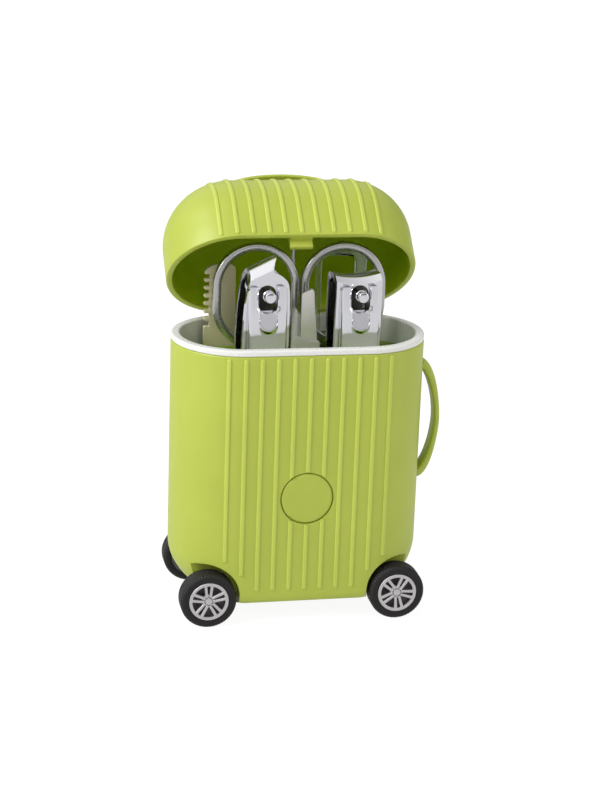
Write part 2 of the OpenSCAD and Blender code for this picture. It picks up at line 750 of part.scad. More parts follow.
module scissors_left() scissor_half(-1, -1);
module scissors_right() scissor_half(1, 1);
module scissors_screw() color(steel) translate([scissors_x, scissors_y, pivot_z]) {
  reach = blade_t + half_gap / 2;
  along_y(screw_r, 2 * reach);
  translate([0, -reach - 0.25, 0]) along_y(1.8, 0.5);
  translate([0, reach + 0.15, 0]) along_y(1.4, 0.3);
}

// ---------- small tools ----------

// The file's left edge is straight and its right edge widens towards the grip.
module flat_file() color([0.78, 0.77, 0.75]) translate([file_x, file_y, 0])
  rotate([90, 0, 0]) linear_extrude(file_t, center = true) {
    left = -file_w / 3;
    right = left + file_w;
    top = body_h + file_top;
    polygon([[left, body_h - file_deep], [right, body_h - file_deep], [right, body_h + 0.5],
      [right - 0.9, top - 5.2], [right - 1.2, top - 0.7], [right - 1.8, top], [left + 0.1, top - 1.4]]);
  }

module file_grip() color([0.55, 0.55, 0.53]) translate([file_x, file_y, 0]) difference() {
  rotate([90, 0, 0]) linear_extrude(grip_t - 0.4, center = true)
    polygon([[-grip_w / 2, small_z], [grip_w / 2, small_z], [grip_w / 2, body_h - 1],
      [-grip_w / 2 + 3, body_h - 0.1], [-grip_w / 2 + 1.2, body_h + 0.9], [-grip_w / 2 + 1.2, body_h + 8.8],
      [-grip_w / 2 + 0.2, body_h + 8.8], [-grip_w / 2, body_h + 2.2]]);
  translate([-file_w / 3 - seat, -file_t / 2 - seat, body_h - file_deep - seat])
    cube([file_w + 2 * seat, file_t + 2 * seat, body_h]);
}

module ear_pick() color(steel) translate([pick_x, pick_y, 0]) {
  top = body_h + pick_top;
  translate([0, 0, small_z]) cylinder(r = pick_r, h = top - 8 - small_z);
  translate([0, 0, top - 8]) cylinder(r1 = pick_r, r2 = pick_r * 0.55, h = 6.6);
  translate([0, 0, top - 1.4]) cylinder(r = pick_r * 0.55, h = 0.6);
  translate([0, 0, top - 0.8]) sphere(r = 0.8);
}

module comb() color([0.86, 0.84, 0.74]) translate([comb_x, comb_y, 0]) {
  tooth_l = 1.6;
  spine = comb_base - tooth_l;
  top = body_h + comb_top;
  tooth_pitch = 2.35;
  tooth_h = 1.05;
  first = top - 3;                         // underside of the first tooth, which ends the head
  rotate([90, 0, 0]) linear_extrude(comb_t, center = true) {
    translate([-comb_base / 2 + tooth_l, small_z]) square([spine, first - small_z]);
    polygon([[-comb_base / 2, first], [comb_base / 2, first], [comb_base / 2, top - 1.8],
      [comb_base / 2 - 0.8, top - 0.5], [comb_base / 2 - 2.2, top], [0, top], [-1.8, top - 0.3],
      [-3.4, top - 1.1], [-comb_base / 2 + 0.2, top - 2.2], [-comb_base / 2, top - 2.8]]);
    translate([-comb_base / 2, small_z]) square([comb_base, body_h + 0.5 - small_z]);
    for (i = [1 : 6]) translate([-comb_base / 2, first - i * tooth_pitch]) square([tooth_l + 1, tooth_h]);
  }
}

// A clear flat holder: an open frame above the tray, closed at its foot.
module clear_holder() color([0.8, 0.85, 0.8, 0.4]) translate([holder_x, holder_y, 0]) {
  top = body_h + holder_top;
  side_bar = 1.6;
  rotate([90, 0, 0]) linear_extrude(holder_t, center = true) difference() {
    translate([-holder_w / 2, small_z]) square([holder_w, top - small_z]);
    translate([-holder_w / 2 + side_bar, body_h - 2]) square([holder_w - 2 * side_bar - 1.6, holder_top]);
  }
}

body_shell();
liner();
tool_tray();
badge_disc();
side_handle();
hinge_pin();
lid_shell();
carry_handle();
axle(-1);  // axle_left
axle(1);  // axle_right
rim(-1, -1);  // rim_front_left
rim(-1, 1);  // rim_rear_left
rim(1, -1);  // rim_front_right
rim(1, 1);  // rim_rear_right
tyre(-1, -1);  // tyre_front_left
tyre(-1, 1);  // tyre_rear_left
tyre(1, -1);  // tyre_front_right
tyre(1, 1);  // tyre_rear_right
straight_upper_leaf();
straight_lower_leaf();
straight_post();
straight_rivet();
straight_lever();
slant_upper_leaf();
slant_lower_leaf();
slant_post();
slant_rivet();
slant_lever();
scissors_left();
scissors_right();
scissors_screw();
flat_file();
file_grip();
ear_pick();
comb();
clear_holder();
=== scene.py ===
import math

import bmesh
import bpy
from mathutils import Matrix, Vector


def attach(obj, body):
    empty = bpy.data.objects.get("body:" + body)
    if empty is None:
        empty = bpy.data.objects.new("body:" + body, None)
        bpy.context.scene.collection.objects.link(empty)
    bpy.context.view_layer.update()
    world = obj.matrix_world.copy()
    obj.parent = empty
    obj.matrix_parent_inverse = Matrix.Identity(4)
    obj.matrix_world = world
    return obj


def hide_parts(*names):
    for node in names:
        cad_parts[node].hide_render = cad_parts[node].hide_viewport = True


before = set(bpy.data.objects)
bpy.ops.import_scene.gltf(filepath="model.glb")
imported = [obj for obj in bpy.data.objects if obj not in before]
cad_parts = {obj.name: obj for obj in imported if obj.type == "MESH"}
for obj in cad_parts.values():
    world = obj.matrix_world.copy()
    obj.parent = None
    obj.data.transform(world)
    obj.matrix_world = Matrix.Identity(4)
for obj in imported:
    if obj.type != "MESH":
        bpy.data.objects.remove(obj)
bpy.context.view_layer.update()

# All meshes are drawn in millimetres, in the CAD's frame, and scaled to metres at the end.
MM = 0.001
scene = bpy.context.scene
scene.view_settings.view_transform = "Standard"

# ---------- Camera ----------
# The photograph's viewpoint: a long lens a little to the left of the case's front and above it,
# turned by about two degrees. Its place is worked out from the case's own lines.
FOCAL_PX = 2037
AIM = Vector((1.24, 0, 55.52))
DISTANCE = 595.6
YAW, PITCH, ROLL = -0.21036, 0.30477, 0.0351

back = Vector((math.sin(YAW) * math.cos(PITCH), -math.cos(YAW) * math.cos(PITCH), math.sin(PITCH)))
level = Vector((math.cos(YAW), math.sin(YAW), 0))
upright = back.cross(level)
right = level * math.cos(ROLL) + upright * math.sin(ROLL)
above = upright * math.cos(ROLL) - level * math.sin(ROLL)
camera = bpy.data.objects.new("camera", bpy.data.cameras.new("camera"))
camera.data.sensor_fit = "VERTICAL"
camera.data.sensor_height = 36
camera.data.lens = FOCAL_PX / 800 * 36
camera.data.clip_start = 0.02
looking = Matrix((right, above, back)).transposed().to_4x4()
camera.matrix_world = Matrix.Translation((AIM + back * DISTANCE) * MM) @ looking
scene.collection.objects.link(camera)
scene.camera = camera

# ---------- Studio ----------
# A white table and a white surround, lit by one large soft lamp from the upper left and a
# weaker one from the right. The table keeps the case's shadow.
FLOOR_Z = -6.2


def linear(colour):
    """An sRGB hex colour as the linear values that a shader reads."""
    parts = [int(colour[i:i + 2], 16) / 255 for i in (1, 3, 5)]
    return [c / 12.92 if c <= 0.04045 else ((c + 0.055) / 1.055) ** 2.4 for c in parts] + [1.0]


def add(tree, kind, inputs=(), **settings):
    """One node with its settings. An input is a value, or another node's output to link."""
    node = tree.nodes.new("ShaderNode" + kind)
    for name, value in settings.items():
        setattr(node, name, value)
    for key, value in dict(inputs).items():
        if isinstance(value, bpy.types.NodeSocket):
            tree.links.new(value, node.inputs[key])
        else:
            node.inputs[key].default_value = value
    return node


def new_tree(owner):
    """The emptied node tree of a material or a world."""
    owner.use_nodes = True
    owner.node_tree.nodes.clear()
    return owner.node_tree


world = bpy.data.worlds.new("studio")
scene.world = world
tree = new_tree(world)
path = add(tree, "LightPath")
direction = add(tree, "SeparateXYZ", {0: add(tree, "TexCoord").outputs["Generated"]})
# Metal sees a room with a bright ceiling, a bright left wall, a darker right and a dark horizon;
# everything else sees plain light.
side = add(tree, "MapRange", {"Value": direction.outputs["X"], "From Min": -0.2, "From Max": 0.9,
                              "To Min": 1.0, "To Max": 0.35})
ceiling = add(tree, "MapRange", {"Value": direction.outputs["Z"], "From Min": 0.05, "From Max": 0.45,
                                 "To Min": 0.35, "To Max": 1.15})
wall = add(tree, "MapRange", {"Value": direction.outputs["X"], "From Min": -0.5, "From Max": -0.9,
                              "To Min": 0.0, "To Max": 0.9})
room = add(tree, "Math", {0: ceiling.outputs[0], 1: wall.outputs[0]}, operation="MAXIMUM")
room = add(tree, "Math", {0: side.outputs[0], 1: room.outputs[0]}, operation="MULTIPLY")
glossy = add(tree, "Mix", {0: path.outputs["Is Glossy Ray"], 2: 0.64, 3: room.outputs[0]},
             data_type="FLOAT")
seen = add(tree, "Math", {0: path.outputs["Is Camera Ray"], 1: path.outputs["Is Transmission Ray"]},
           operation="MAXIMUM")
strength = add(tree, "Mix", {0: seen.outputs[0], 2: glossy.outputs[0], 3: 1.0}, data_type="FLOAT")
sky = add(tree, "Background", {"Color": (1, 1, 1, 1), "Strength": strength.outputs[0]})
add(tree, "OutputWorld", {"Surface": sky.outputs[0]})

table = bpy.data.materials.new("white_table")
tree = new_tree(table)
path = add(tree, "LightPath")
seen = add(tree, "Math", {0: path.outputs["Is Camera Ray"], 1: path.outputs["Is Glossy Ray"]},
           operation="MAXIMUM")
seen = add(tree, "Math", {0: seen.outputs[0], 1: path.outputs["Is Transmission Ray"]}, operation="MAXIMUM")
share = add(tree, "Math", {0: seen.outputs[0], 1: 0.8}, operation="MULTIPLY")
paint = add(tree, "BsdfDiffuse", {"Color": linear("#E6E6E6")})
power = add(tree, "Mix", {0: path.outputs["Is Glossy Ray"], 2: 1.15, 3: 0.8}, data_type="FLOAT")
glow = add(tree, "Emission", {"Color": (1, 1, 1, 1), "Strength": power.outputs[0]})
mixed = add(tree, "MixShader", {0: share.outputs[0], 1: paint.outputs[0], 2: glow.outputs[0]})
add(tree, "OutputMaterial", {"Surface": mixed.outputs[0]})

bm = bmesh.new()
bmesh.ops.create_grid(bm, x_segments=2, y_segments=2, size=4,
                      matrix=Matrix.Translation((0, 0, FLOOR_Z * MM)))
mesh = bpy.data.meshes.new("table_top")
bm.to_mesh(mesh)
bm.free()
mesh.materials.append(table)
floor = bpy.data.objects.new("table_top", mesh)
scene.collection.objects.link(floor)


def lamp(name, place, aim, size, power):
    """A square soft lamp at a place in metres, turned towards another."""
    light = bpy.data.lights.new(name, "AREA")
    light.size = size
    light.energy = power
    obj = bpy.data.objects.new(name, light)
    turn = (Vector(place) - Vector(aim)).to_track_quat("Z", "Y").to_matrix().to_4x4()
    obj.matrix_world = Matrix.Translation(place) @ turn
    scene.collection.objects.link(obj)
    return obj


lamp("key_lamp", (-0.92, -0.3, 0.8), (0, 0, 0.05), 0.7, 11.5)
lamp("fill_lamp", (1.0, -0.55, 0.4), (0, 0, 0.05), 0.8, 2.4)
# The bright tools throw light on the inside of the case's front wall.
bounce = lamp("bounce_lamp", (0.002, -0.0112, 0.0725), (0.002, -0.02, 0.0715), 0.044, 0.0005)
bounce.data.color = (0.95, 1, 0.72)
bounce.data.shape = "RECTANGLE"
bounce.data.size_y = 0.006
bounce.visible_camera = False
bounce.visible_glossy = False

# ---------- Case body ----------
# The lower half of the case: one injection moulding in lime ABS with a fine matt texture.
# Upright ribs stiffen both faces; it has four wheel arches, a bearing across the case for each
# axle, two hinge barrels at the back and a round seat for the badge.
CASE_W, CASE_D, CASE_H = 74, 40.4, 74.8
END_R = CASE_D / 2
STRAIGHT = CASE_W / 2 - END_R
WALL = 1.5
CORNER_R, EDGE_R = 14, 2.2
BAY_Z = 13.5
RIBS = [(i - 5) * 4.66 for i in range(11)]
RIB_HALF, RIB_T, RIB_SINK = 0.65, 0.5, 0.12
AXLE_X, AXLE_Z = 27.9, 2.0
ARCH_R, ARCH_Z, ARCH_DEEP = 9.1, 2.9, 7.5
HINGE_Y, HINGE_Z, BARREL_R = 21.2, CASE_H - 4.4, 1.7
LID_BARREL_HALF, CASE_BARREL, BARREL_GAP, PIN_BORE_R = 7.5, 5, 0.25, 0.61
BEARING_R, BEARING_HALF, AXLE_BORE_R = 2.8, 12.6, 1.05
BADGE_R, BADGE_Z, BADGE_GAP, BADGE_T = 7.8, 32.3, 0.35, 0.9
HANDLE_Z, FOOT_Z = 49.3, 16.8


def plastic(name, colour, deep, rough, grain, depth, ior=1.54):
    """A moulded plastic: its colour and a deeper tone in slow clouds, over a grain of that size and
    depth in mm."""
    material = bpy.data.materials.new(name)
    tree = new_tree(material)
    place = add(tree, "TexCoord").outputs["Object"]
    clouds = add(tree, "TexNoise", {"Vector": place, "Scale": 1 / (14 * MM), "Detail": 2.0})
    tone = add(tree, "Mix", {0: clouds.outputs["Fac"], 6: linear(colour), 7: linear(deep)},
               data_type="RGBA")
    spark = add(tree, "TexNoise", {"Vector": place, "Scale": 1 / (grain * MM), "Detail": 3.0,
                                   "Roughness": 0.6})
    matt = add(tree, "MapRange", {"Value": spark.outputs["Fac"], "From Min": 0.3, "From Max": 0.7,
                                  "To Min": rough - 0.05, "To Max": rough + 0.07})
    bump = add(tree, "Bump", {"Height": spark.outputs["Fac"], "Strength": 0.5, "Distance": depth * MM})
    surface = add(tree, "BsdfPrincipled", {"Base Color": tone.outputs[2], "Roughness": matt.outputs[0],
                                           "Normal": bump.outputs[0], "IOR": ior})
    add(tree, "OutputMaterial", {"Surface": surface.outputs[0]})
    return material


# ABS, moulded against a spark-eroded tool: satin-matt, with a fine grain and faint flow clouds.
lime_abs = plastic("lime_abs_textured", "#B0BC44", "#A7B43D", 0.42, 0.35, 0.05)
# The same ABS on the crests of the ribs, a little smoother and painted lighter: a painted highlight along the
# ribs.
lime_rib_painted_highlight = plastic("lime_abs_rib_painted_highlight", "#BECA50", "#B7C34A", 0.36, 0.5, 0.02)


def verts_of(geometry):
    """The vertices among what an operator returns."""
    return [g for g in geometry if isinstance(g, bmesh.types.BMVert)]


def turned_track(profile, steps=40):
    """The form that a half section (distance from the ends' axis, height) sweeps round the case's
    plan: half-turned ends with a straight middle."""
    bm = bmesh.new()
    verts = [bm.verts.new((STRAIGHT, -r, z)) for r, z in profile]
    edges = [bm.edges.new(pair) for pair in zip(verts, verts[1:])]
    bmesh.ops.spin(bm, geom=verts + edges, cent=(STRAIGHT, 0, 0), axis=(0, 0, 1), dvec=(0, 0, 0),
                   angle=math.pi, steps=steps, use_merge=False, use_duplicate=False)
    bmesh.ops.remove_doubles(bm, verts=bm.verts, dist=1e-4)
    border = [e for e in bm.edges if len(e.link_faces) == 1
              and all(abs(v.co.x - STRAIGHT) < 1e-3 for v in e.verts)]
    new = bmesh.ops.extrude_edge_only(bm, edges=border)["geom"]
    bmesh.ops.translate(bm, vec=(-STRAIGHT, 0, 0), verts=verts_of(new))
    bmesh.ops.mirror(bm, geom=bm.verts[:] + bm.edges[:] + bm.faces[:], merge_dist=1e-3, axis="X")
    bmesh.ops.remove_doubles(bm, verts=bm.verts, dist=1e-4)
    bmesh.ops.recalc_face_normals(bm, faces=bm.faces)
    return bm


def arc(centre, radius, start, stop, steps):
    """Points on a circle, from one angle to another in degrees."""
    turns = [math.radians(start + (stop - start) * i / steps) for i in range(steps + 1)]
    return [(centre[0] + radius * math.cos(a), centre[1] + radius * math.sin(a)) for a in turns]


def block(size, centre, round_off=0.0, segments=2):
    """A box with rounded edges."""
    bm = bmesh.new()
    bmesh.ops.create_cube(bm, size=1, matrix=Matrix.Translation(centre) @ Matrix.Diagonal((*size, 1)))
    if round_off:
        bmesh.ops.bevel(bm, geom=bm.edges[:], offset=round_off, segments=segments, profile=0.5,
                        affect="EDGES", material=-1)
    return bm


def rod(radius, start, stop, round_off=0.0, segments=48):
    """A cylinder between two points, its end edges rounded."""
    start, stop = Vector(start), Vector(stop)
    turn = (stop - start).to_track_quat("Z", "Y").to_matrix().to_4x4()
    bm = bmesh.new()
    bmesh.ops.create_cone(bm, cap_ends=True, segments=segments, radius1=radius, radius2=radius,
                          depth=(stop - start).length, matrix=Matrix.Translation((start + stop) / 2) @ turn)
    if round_off:
        rims = [e for e in bm.edges if any(len(f.verts) > 4 for f in e.link_faces)]
        bmesh.ops.bevel(bm, geom=rims, offset=round_off, segments=3, profile=0.5, affect="EDGES",
                        material=-1)
    return bm


def sweep(frames, segments=12, square=1.0):
    """A bar through a row of frames: the matrix of each cross-section, its first two axes half the
    width and half the thickness. Square below 1 turns the round section into a rounded oblong."""
    bm = bmesh.new()
    bmesh.ops.create_circle(bm, cap_ends=True, segments=segments, radius=1)
    for v in bm.verts:
        for i in (0, 1):
            v.co[i] = math.copysign(abs(v.co[i]) ** square, v.co[i])
    bmesh.ops.transform(bm, matrix=frames[0], verts=bm.verts)
    face = bm.faces[:][0]
    for old, new in zip(frames, frames[1:]):
        face = bmesh.ops.extrude_discrete_faces(bm, faces=[face])["faces"][0]
        bmesh.ops.transform(bm, matrix=new @ old.inverted(), verts=face.verts)
    bmesh.ops.holes_fill(bm, edges=bm.edges)
    bmesh.ops.recalc_face_normals(bm, faces=bm.faces)
    return bm


def section(place, along, out, half_w, half_t):
    """The frame of a bar's cross-section: its thickness lies along out, its width across."""
    along = Vector(along).normalized()
    out = (Vector(out) - along * along.dot(Vector(out))).normalized()
    across = out.cross(along)
    m = Matrix((across * half_w, out * half_t, along)).transposed().to_4x4()
    return Matrix.Translation(place) @ m


def gather(parts):
    """Several meshes as one; the parts are used up."""
    whole = bmesh.new()
    for part in parts:
        mesh = bpy.data.meshes.new("part")
        part.to_mesh(mesh)
        part.free()
        whole.from_mesh(mesh)
        bpy.data.meshes.remove(mesh)
    return whole


def carve(base, other, operation="DIFFERENCE", solver="MANIFOLD"):
    """Base with other taken away from it, joined to it or kept in common."""
    objects = []
    for bm in (base, other):
        bmesh.ops.triangulate(bm, faces=[f for f in bm.faces if len(f.verts) > 4])
        mesh = bpy.data.meshes.new("work")
        bm.to_mesh(mesh)
        bm.free()
        obj = bpy.data.objects.new("work", mesh)
        scene.collection.objects.link(obj)
        objects.append(obj)
    boolean = objects[0].modifiers.new("carve", "BOOLEAN")
    boolean.object = objects[1]
    boolean.operation = operation
    boolean.solver = solver
    shape = objects[0].evaluated_get(bpy.context.evaluated_depsgraph_get()).to_mesh()
    result = bmesh.new()
    result.from_mesh(shape)
    for obj in objects:
        mesh = obj.data
        bpy.data.objects.remove(obj)
        bpy.data.meshes.remove(mesh)
    bmesh.ops.remove_doubles(result, verts=result.verts, dist=2e-3)
    bmesh.ops.dissolve_degenerate(result, dist=1e-3, edges=result.edges)
    return result


def soften(bm, width, segments=2, angle=40, where=None):
    """Rounds every edge that turns by more than the angle."""
    edges = [e for e in bm.edges if len(e.link_faces) == 2 and e.calc_face_angle(0) > math.radians(angle)
             and (where is None or where((e.verts[0].co + e.verts[1].co) / 2))]
    bmesh.ops.bevel(bm, geom=edges, offset=width, segments=segments, profile=0.5, affect="EDGES",
                    clamp_overlap=True, material=-1)


def finish(name, bm, materials, body, nodes, angle=35, even=True):
    """Makes the finished object in metres, shades it, hangs it under its body's empty and hides the CAD parts
    it stands for.
    """
    bmesh.ops.scale(bm, vec=(MM, MM, MM), verts=bm.verts)
    mesh = bpy.data.meshes.new(name)
    bm.to_mesh(mesh)
    bm.free()
    for material in materials:
        mesh.materials.append(material)
    mesh.shade_smooth()
    mesh.set_sharp_from_angle(angle=math.radians(angle))
    obj = bpy.data.objects.new(name, mesh)
    scene.collection.objects.link(obj)
    if even:
        weigh = obj.modifiers.new("even_shading", "WEIGHTED_NORMAL")
        weigh.keep_sharp = True
    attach(obj, body)
    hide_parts(*nodes)
    return obj


def rib_end(x):
    """Height at which the rib at x ends above the wheel arch."""
    away, clear = abs(abs(x) - AXLE_X), ARCH_R + 2
    return max(4.2, ARCH_Z + math.sqrt(clear ** 2 - away ** 2)) if away < clear else 4.2


def bead_scales(length, radius, steps):
    """Distances along a bead and the section's scale there: a ball's outline at both ends."""
    turns = [math.radians(a) for a in (2, 20, 40, 62, 90)]
    ends = [(radius * (1 - math.cos(a)), max(math.sin(a), 0.05)) for a in turns]
    middle = [(radius + (length - 2 * radius) * i / steps, 1.0) for i in range(1, steps)]
    return ends + middle + [(length - d, s) for d, s in reversed(ends)]


rows = [CORNER_R * (1 - math.cos(math.radians(a))) for a in range(0, 91, 6)]
rows = sorted([0, 0.1, 0.4, 0.9, 1.5] + [z for z in rows if z > 2.0])
profile = [(0, 0), (10, 0), (17, 0)] + [(END_R, z) for z in rows] + [
    (END_R, 40), (END_R, CASE_H - 0.5), (END_R - 0.07, CASE_H - 0.25), (END_R - 0.2, CASE_H - 0.08),
    (END_R - 0.42, CASE_H), (END_R - WALL, CASE_H), (END_R - WALL, BAY_Z), (10, BAY_Z), (0, BAY_Z)]
shell = turned_track(profile, 48)
# The lower corners and the bottom's long edges are rounded.
for v in shell.verts:
    z, past = v.co.z, abs(v.co.x) - STRAIGHT
    if z < CORNER_R and past > 0:
        reach = CASE_W / 2 - CORNER_R + math.sqrt(max(0, CORNER_R ** 2 - (CORNER_R - z) ** 2))
        v.co.x = math.copysign(STRAIGHT + past * (reach - STRAIGHT) / END_R, v.co.x)
    if z < EDGE_R:
        v.co.y *= 1 - (EDGE_R - math.sqrt(max(0, EDGE_R ** 2 - (EDGE_R - z) ** 2))) / END_R

beads = []
for x in RIBS:
    past = max(0, abs(x) - STRAIGHT)
    depth = math.sqrt(END_R ** 2 - past ** 2)
    out = Vector((math.copysign(past, x), -depth, 0)) / END_R
    foot = Vector((x, -depth, 0)) - out * RIB_SINK
    for face, top in ((1, CASE_H - 0.6), (-1, HINGE_Z - BARREL_R - 2)):
        turn = Matrix.Diagonal((1, face, 1, 1))
        low = rib_end(x)
        frames = [section(turn @ (foot + Vector((0, 0, low + d))), (0, 0, 1), turn @ out,
                          RIB_HALF * s, RIB_T * s)
                  for d, s in bead_scales(top - low, RIB_HALF, 3)]
        beads.append(sweep(frames, 16, 0.6))
shell = carve(shell, gather(beads), "UNION")

# The bearings of the axles, and the hinge's two outer barrels on their blocks.
bearings = [rod(BEARING_R, (side * AXLE_X, -BEARING_HALF, AXLE_Z), (side * AXLE_X, BEARING_HALF, AXLE_Z), 0.2)
            for side in (-1, 1)]
shell = carve(shell, gather(bearings), "UNION")
knuckles, blocks = [], []
for side in (-1, 1):
    x, half = side * (LID_BARREL_HALF + BARREL_GAP + CASE_BARREL / 2), CASE_BARREL / 2
    knuckles.append(rod(BARREL_R, (x - half, HINGE_Y, HINGE_Z), (x + half, HINGE_Y, HINGE_Z), 0.2, 40))
    blocks.append(block((CASE_BARREL, 2.0, 3.3), (x, 20.2, HINGE_Z - 1.65), 0.3))
shell = carve(shell, gather(knuckles), "UNION")
shell = carve(shell, gather(blocks), "UNION")

cuts = []
for side in (-1, 1):
    for face in (-1, 1):
        cuts.append(rod(ARCH_R, (side * AXLE_X, face * (END_R - ARCH_DEEP), ARCH_Z),
                        (side * AXLE_X, face * (END_R + 2), ARCH_Z), 0, 96))
shell = carve(shell, gather(cuts))
cuts = [rod(AXLE_BORE_R, (side * AXLE_X, -19, AXLE_Z), (side * AXLE_X, 19, AXLE_Z)) for side in (-1, 1)]
gap_half = LID_BARREL_HALF + BARREL_GAP
cuts.append(rod(BARREL_R + BARREL_GAP, (-gap_half, HINGE_Y, HINGE_Z), (gap_half, HINGE_Y, HINGE_Z), 0, 40))
shell = carve(shell, gather(cuts))
cuts = [rod(PIN_BORE_R, (-14, HINGE_Y, HINGE_Z), (14, HINGE_Y, HINGE_Z), 0, 24)]
cuts += [block((2, 4.2, 2.6), (CASE_W / 2, 0, HANDLE_Z + end * FOOT_Z)) for end in (-1, 1)]
shell = carve(shell, gather(cuts))
shell = carve(shell, rod(BADGE_R + BADGE_GAP, (0, -23, BADGE_Z), (0, -END_R - 0.002, BADGE_Z), 0, 96))
shell = carve(shell, rod(BADGE_R, (0, -23, BADGE_Z), (0, -END_R + BADGE_T, BADGE_Z), 0, 96))
# Faces standing proud of the shell, the ribs, take the lighter material, a painted highlight; the hinge
# blocks stay plain.
for face in shell.faces:
    p = face.calc_center_median()
    proud = math.hypot(max(0, abs(p.x) - STRAIGHT), p.y) > END_R + 0.05
    face.material_index = 1 if proud and not (p.y > 0 and abs(p.x) < 14 and p.z > HINGE_Z - 4) else 0
finish("case_body", shell, [lime_abs, lime_rib_painted_highlight], "case", ["body_shell"], 32, even=False)

# ---------- Liner ----------
# A pale polypropylene cup pressed into the body. Its rounded rim stands out flush with the
# case's faces and shows as a white band all round, with a fine joint below it.
LINER_IN, LINER_FOOT = 17.6, BAY_Z + 2.4

# Polypropylene, moulded and glossier than the case: soft-edged highlights on the rim.
white_pp = plastic("white_polypropylene", "#E6E5E2", "#E1E1DC", 0.27, 0.5, 0.004)

profile = [(0, LINER_FOOT), (18.6, LINER_FOOT), (18.6, CASE_H), (19.75, CASE_H)]
profile += arc((END_R - 0.45, CASE_H + 0.5), 0.45, -80, 0, 4)
profile += arc((END_R - 0.6, CASE_H + 1.2), 0.6, 0, 90, 5)
profile += arc((LINER_IN + 0.5, CASE_H + 1.3), 0.5, 90, 180, 4)
profile += [(LINER_IN, 60), (LINER_IN, LINER_FOOT + 1.2), (0, LINER_FOOT + 1.2)]
finish("liner_cup", turned_track(profile, 48), [white_pp], "case", ["liner"])

# ---------- Tool tray ----------
# A green moulding that drops into the liner, painted a deep green for the shade it sits in. Its deck has a
# pocket for each tool, with a small chamfer round each mouth.
DECK_Z = CASE_H - 5.5
SMALL_Z = CASE_H - 34
CLIP_TURN = Matrix.Rotation(math.radians(7), 4, "Z")
STRAIGHT_X, STRAIGHT_FOOT = 15.2, CASE_H + 20.2 - 62
SLANT_X, SLANT_FOOT = -11.6, CASE_H + 20.6 - 62
UPRIGHT = Matrix.Identity(4)
POCKETS = [(STRAIGHT_X + 0.315, -6.766, 15, 14.77, STRAIGHT_FOOT - 0.1, CLIP_TURN),
           (SLANT_X + 0.315, -6.766, 15, 14.77, SLANT_FOOT - 0.1, CLIP_TURN),
           (1.5, 7.5, 26, 4.4, 19.5, UPRIGHT), (1.5, 7.5, 42.8, 4.4, DECK_Z - 1.3, UPRIGHT),
           (2.1, -0.4, 9.2, 4.6, SMALL_Z - 0.1, UPRIGHT), (0.2, 11.7, 2.2, 2.2, SMALL_Z - 0.1, UPRIGHT),
           (-21.3, 12, 10.4, 2.4, SMALL_Z - 0.1, UPRIGHT), (14.7, 11.8, 15.6, 3.2, SMALL_Z - 0.1, UPRIGHT)]

# The same ABS in green, moulded smooth, and painted a deep olive for the shade inside the case.
tray_green_painted_shade = plastic("tray_green_abs_painted_shade", "#82A416", "#789A10", 0.45, 0.5, 0.03)

TRAY_FOOT = LINER_FOOT + 1.3
tray = turned_track([(0, TRAY_FOOT), (17.35, TRAY_FOOT), (17.35, DECK_Z - 0.3), (17.27, DECK_Z - 0.08),
                     (17.05, DECK_Z), (0, DECK_Z)])
for x, y, w, d, low, turn in POCKETS:
    mouth = block((w, d, DECK_Z + 2 - low), (0, 0, (DECK_Z + 2 + low) / 2))
    bmesh.ops.transform(mouth, matrix=Matrix.Translation((x, y, 0)) @ turn, verts=mouth.verts)
    tray = carve(tray, mouth)
soften(tray, 0.3, 2, 60, lambda p: p.z > DECK_Z - 0.01 and abs(p.y) < 16)
finish("tool_tray_deck", tray, [tray_green_painted_shade], "case", ["tool_tray"])

# ---------- Badge ----------
# A bare round disc of the case's plastic, moulded slightly dished with a rolled edge. It is pressed
# into its round seat and leaves a fine groove round it.
disc = [(0, 0.04), (5.5, 0.02), (6.8, 0), (7.2, 0.06), (7.38, 0.2), (7.45, 0.4), (7.45, 0.9), (0, 0.9)]


def spun(profile, place, axis, steps=64):
    """A turned piece: profile is (radius, distance along the axis)."""
    bm = bmesh.new()
    verts = [bm.verts.new((r, 0, h)) for r, h in profile]
    edges = [bm.edges.new(pair) for pair in zip(verts, verts[1:])]
    bmesh.ops.spin(bm, geom=verts + edges, cent=(0, 0, 0), axis=(0, 0, 1), dvec=(0, 0, 0),
                   angle=2 * math.pi, steps=steps, use_merge=True, use_duplicate=False)
    bmesh.ops.remove_doubles(bm, verts=bm.verts, dist=1e-4)
    bmesh.ops.recalc_face_normals(bm, faces=bm.faces)
    turn = Vector(axis).to_track_quat("Z", "Y").to_matrix().to_4x4()
    bmesh.ops.transform(bm, matrix=Matrix.Translation(place) @ turn, verts=bm.verts)
    return bm


blank = spun(disc, (0, -END_R, BADGE_Z), (0, 1, 0), 96)
finish("badge_blank", blank, [lime_abs], "case", ["badge_disc"])

# ---------- Side handle ----------
# A bowed bar of rounded oblong section, moulded in lime ABS, with two feet that press into
# sockets in the case's right end.


def bow(half, out, full, steps=30):
    """Points of a flattened bow over its chord; a fullness of 2 is an ellipse."""
    points = []
    for i in range(steps + 1):
        c, s = math.cos(math.pi * i / steps), math.sin(math.pi * i / steps)
        points.append((math.copysign(abs(c) ** (2 / full), c) * half, out * max(s, 0) ** (2 / full)))
    return points


def bowed_bar(outer, inner, half_w, place, square):
    """The bar between two bows; place turns (along the chord, off the chord) into a point."""
    middles = [place((a[0] + b[0]) / 2, (a[1] + b[1]) / 2) for a, b in zip(outer, inner)]
    frames = []
    for i, p in enumerate(middles):
        along = middles[min(i + 1, len(middles) - 1)] - middles[max(i - 1, 0)]
        across = place(*outer[i]) - place(*inner[i])
        frames.append(section(p, along, across, half_w, across.length / 2))
    return sweep(frames, 24, square)


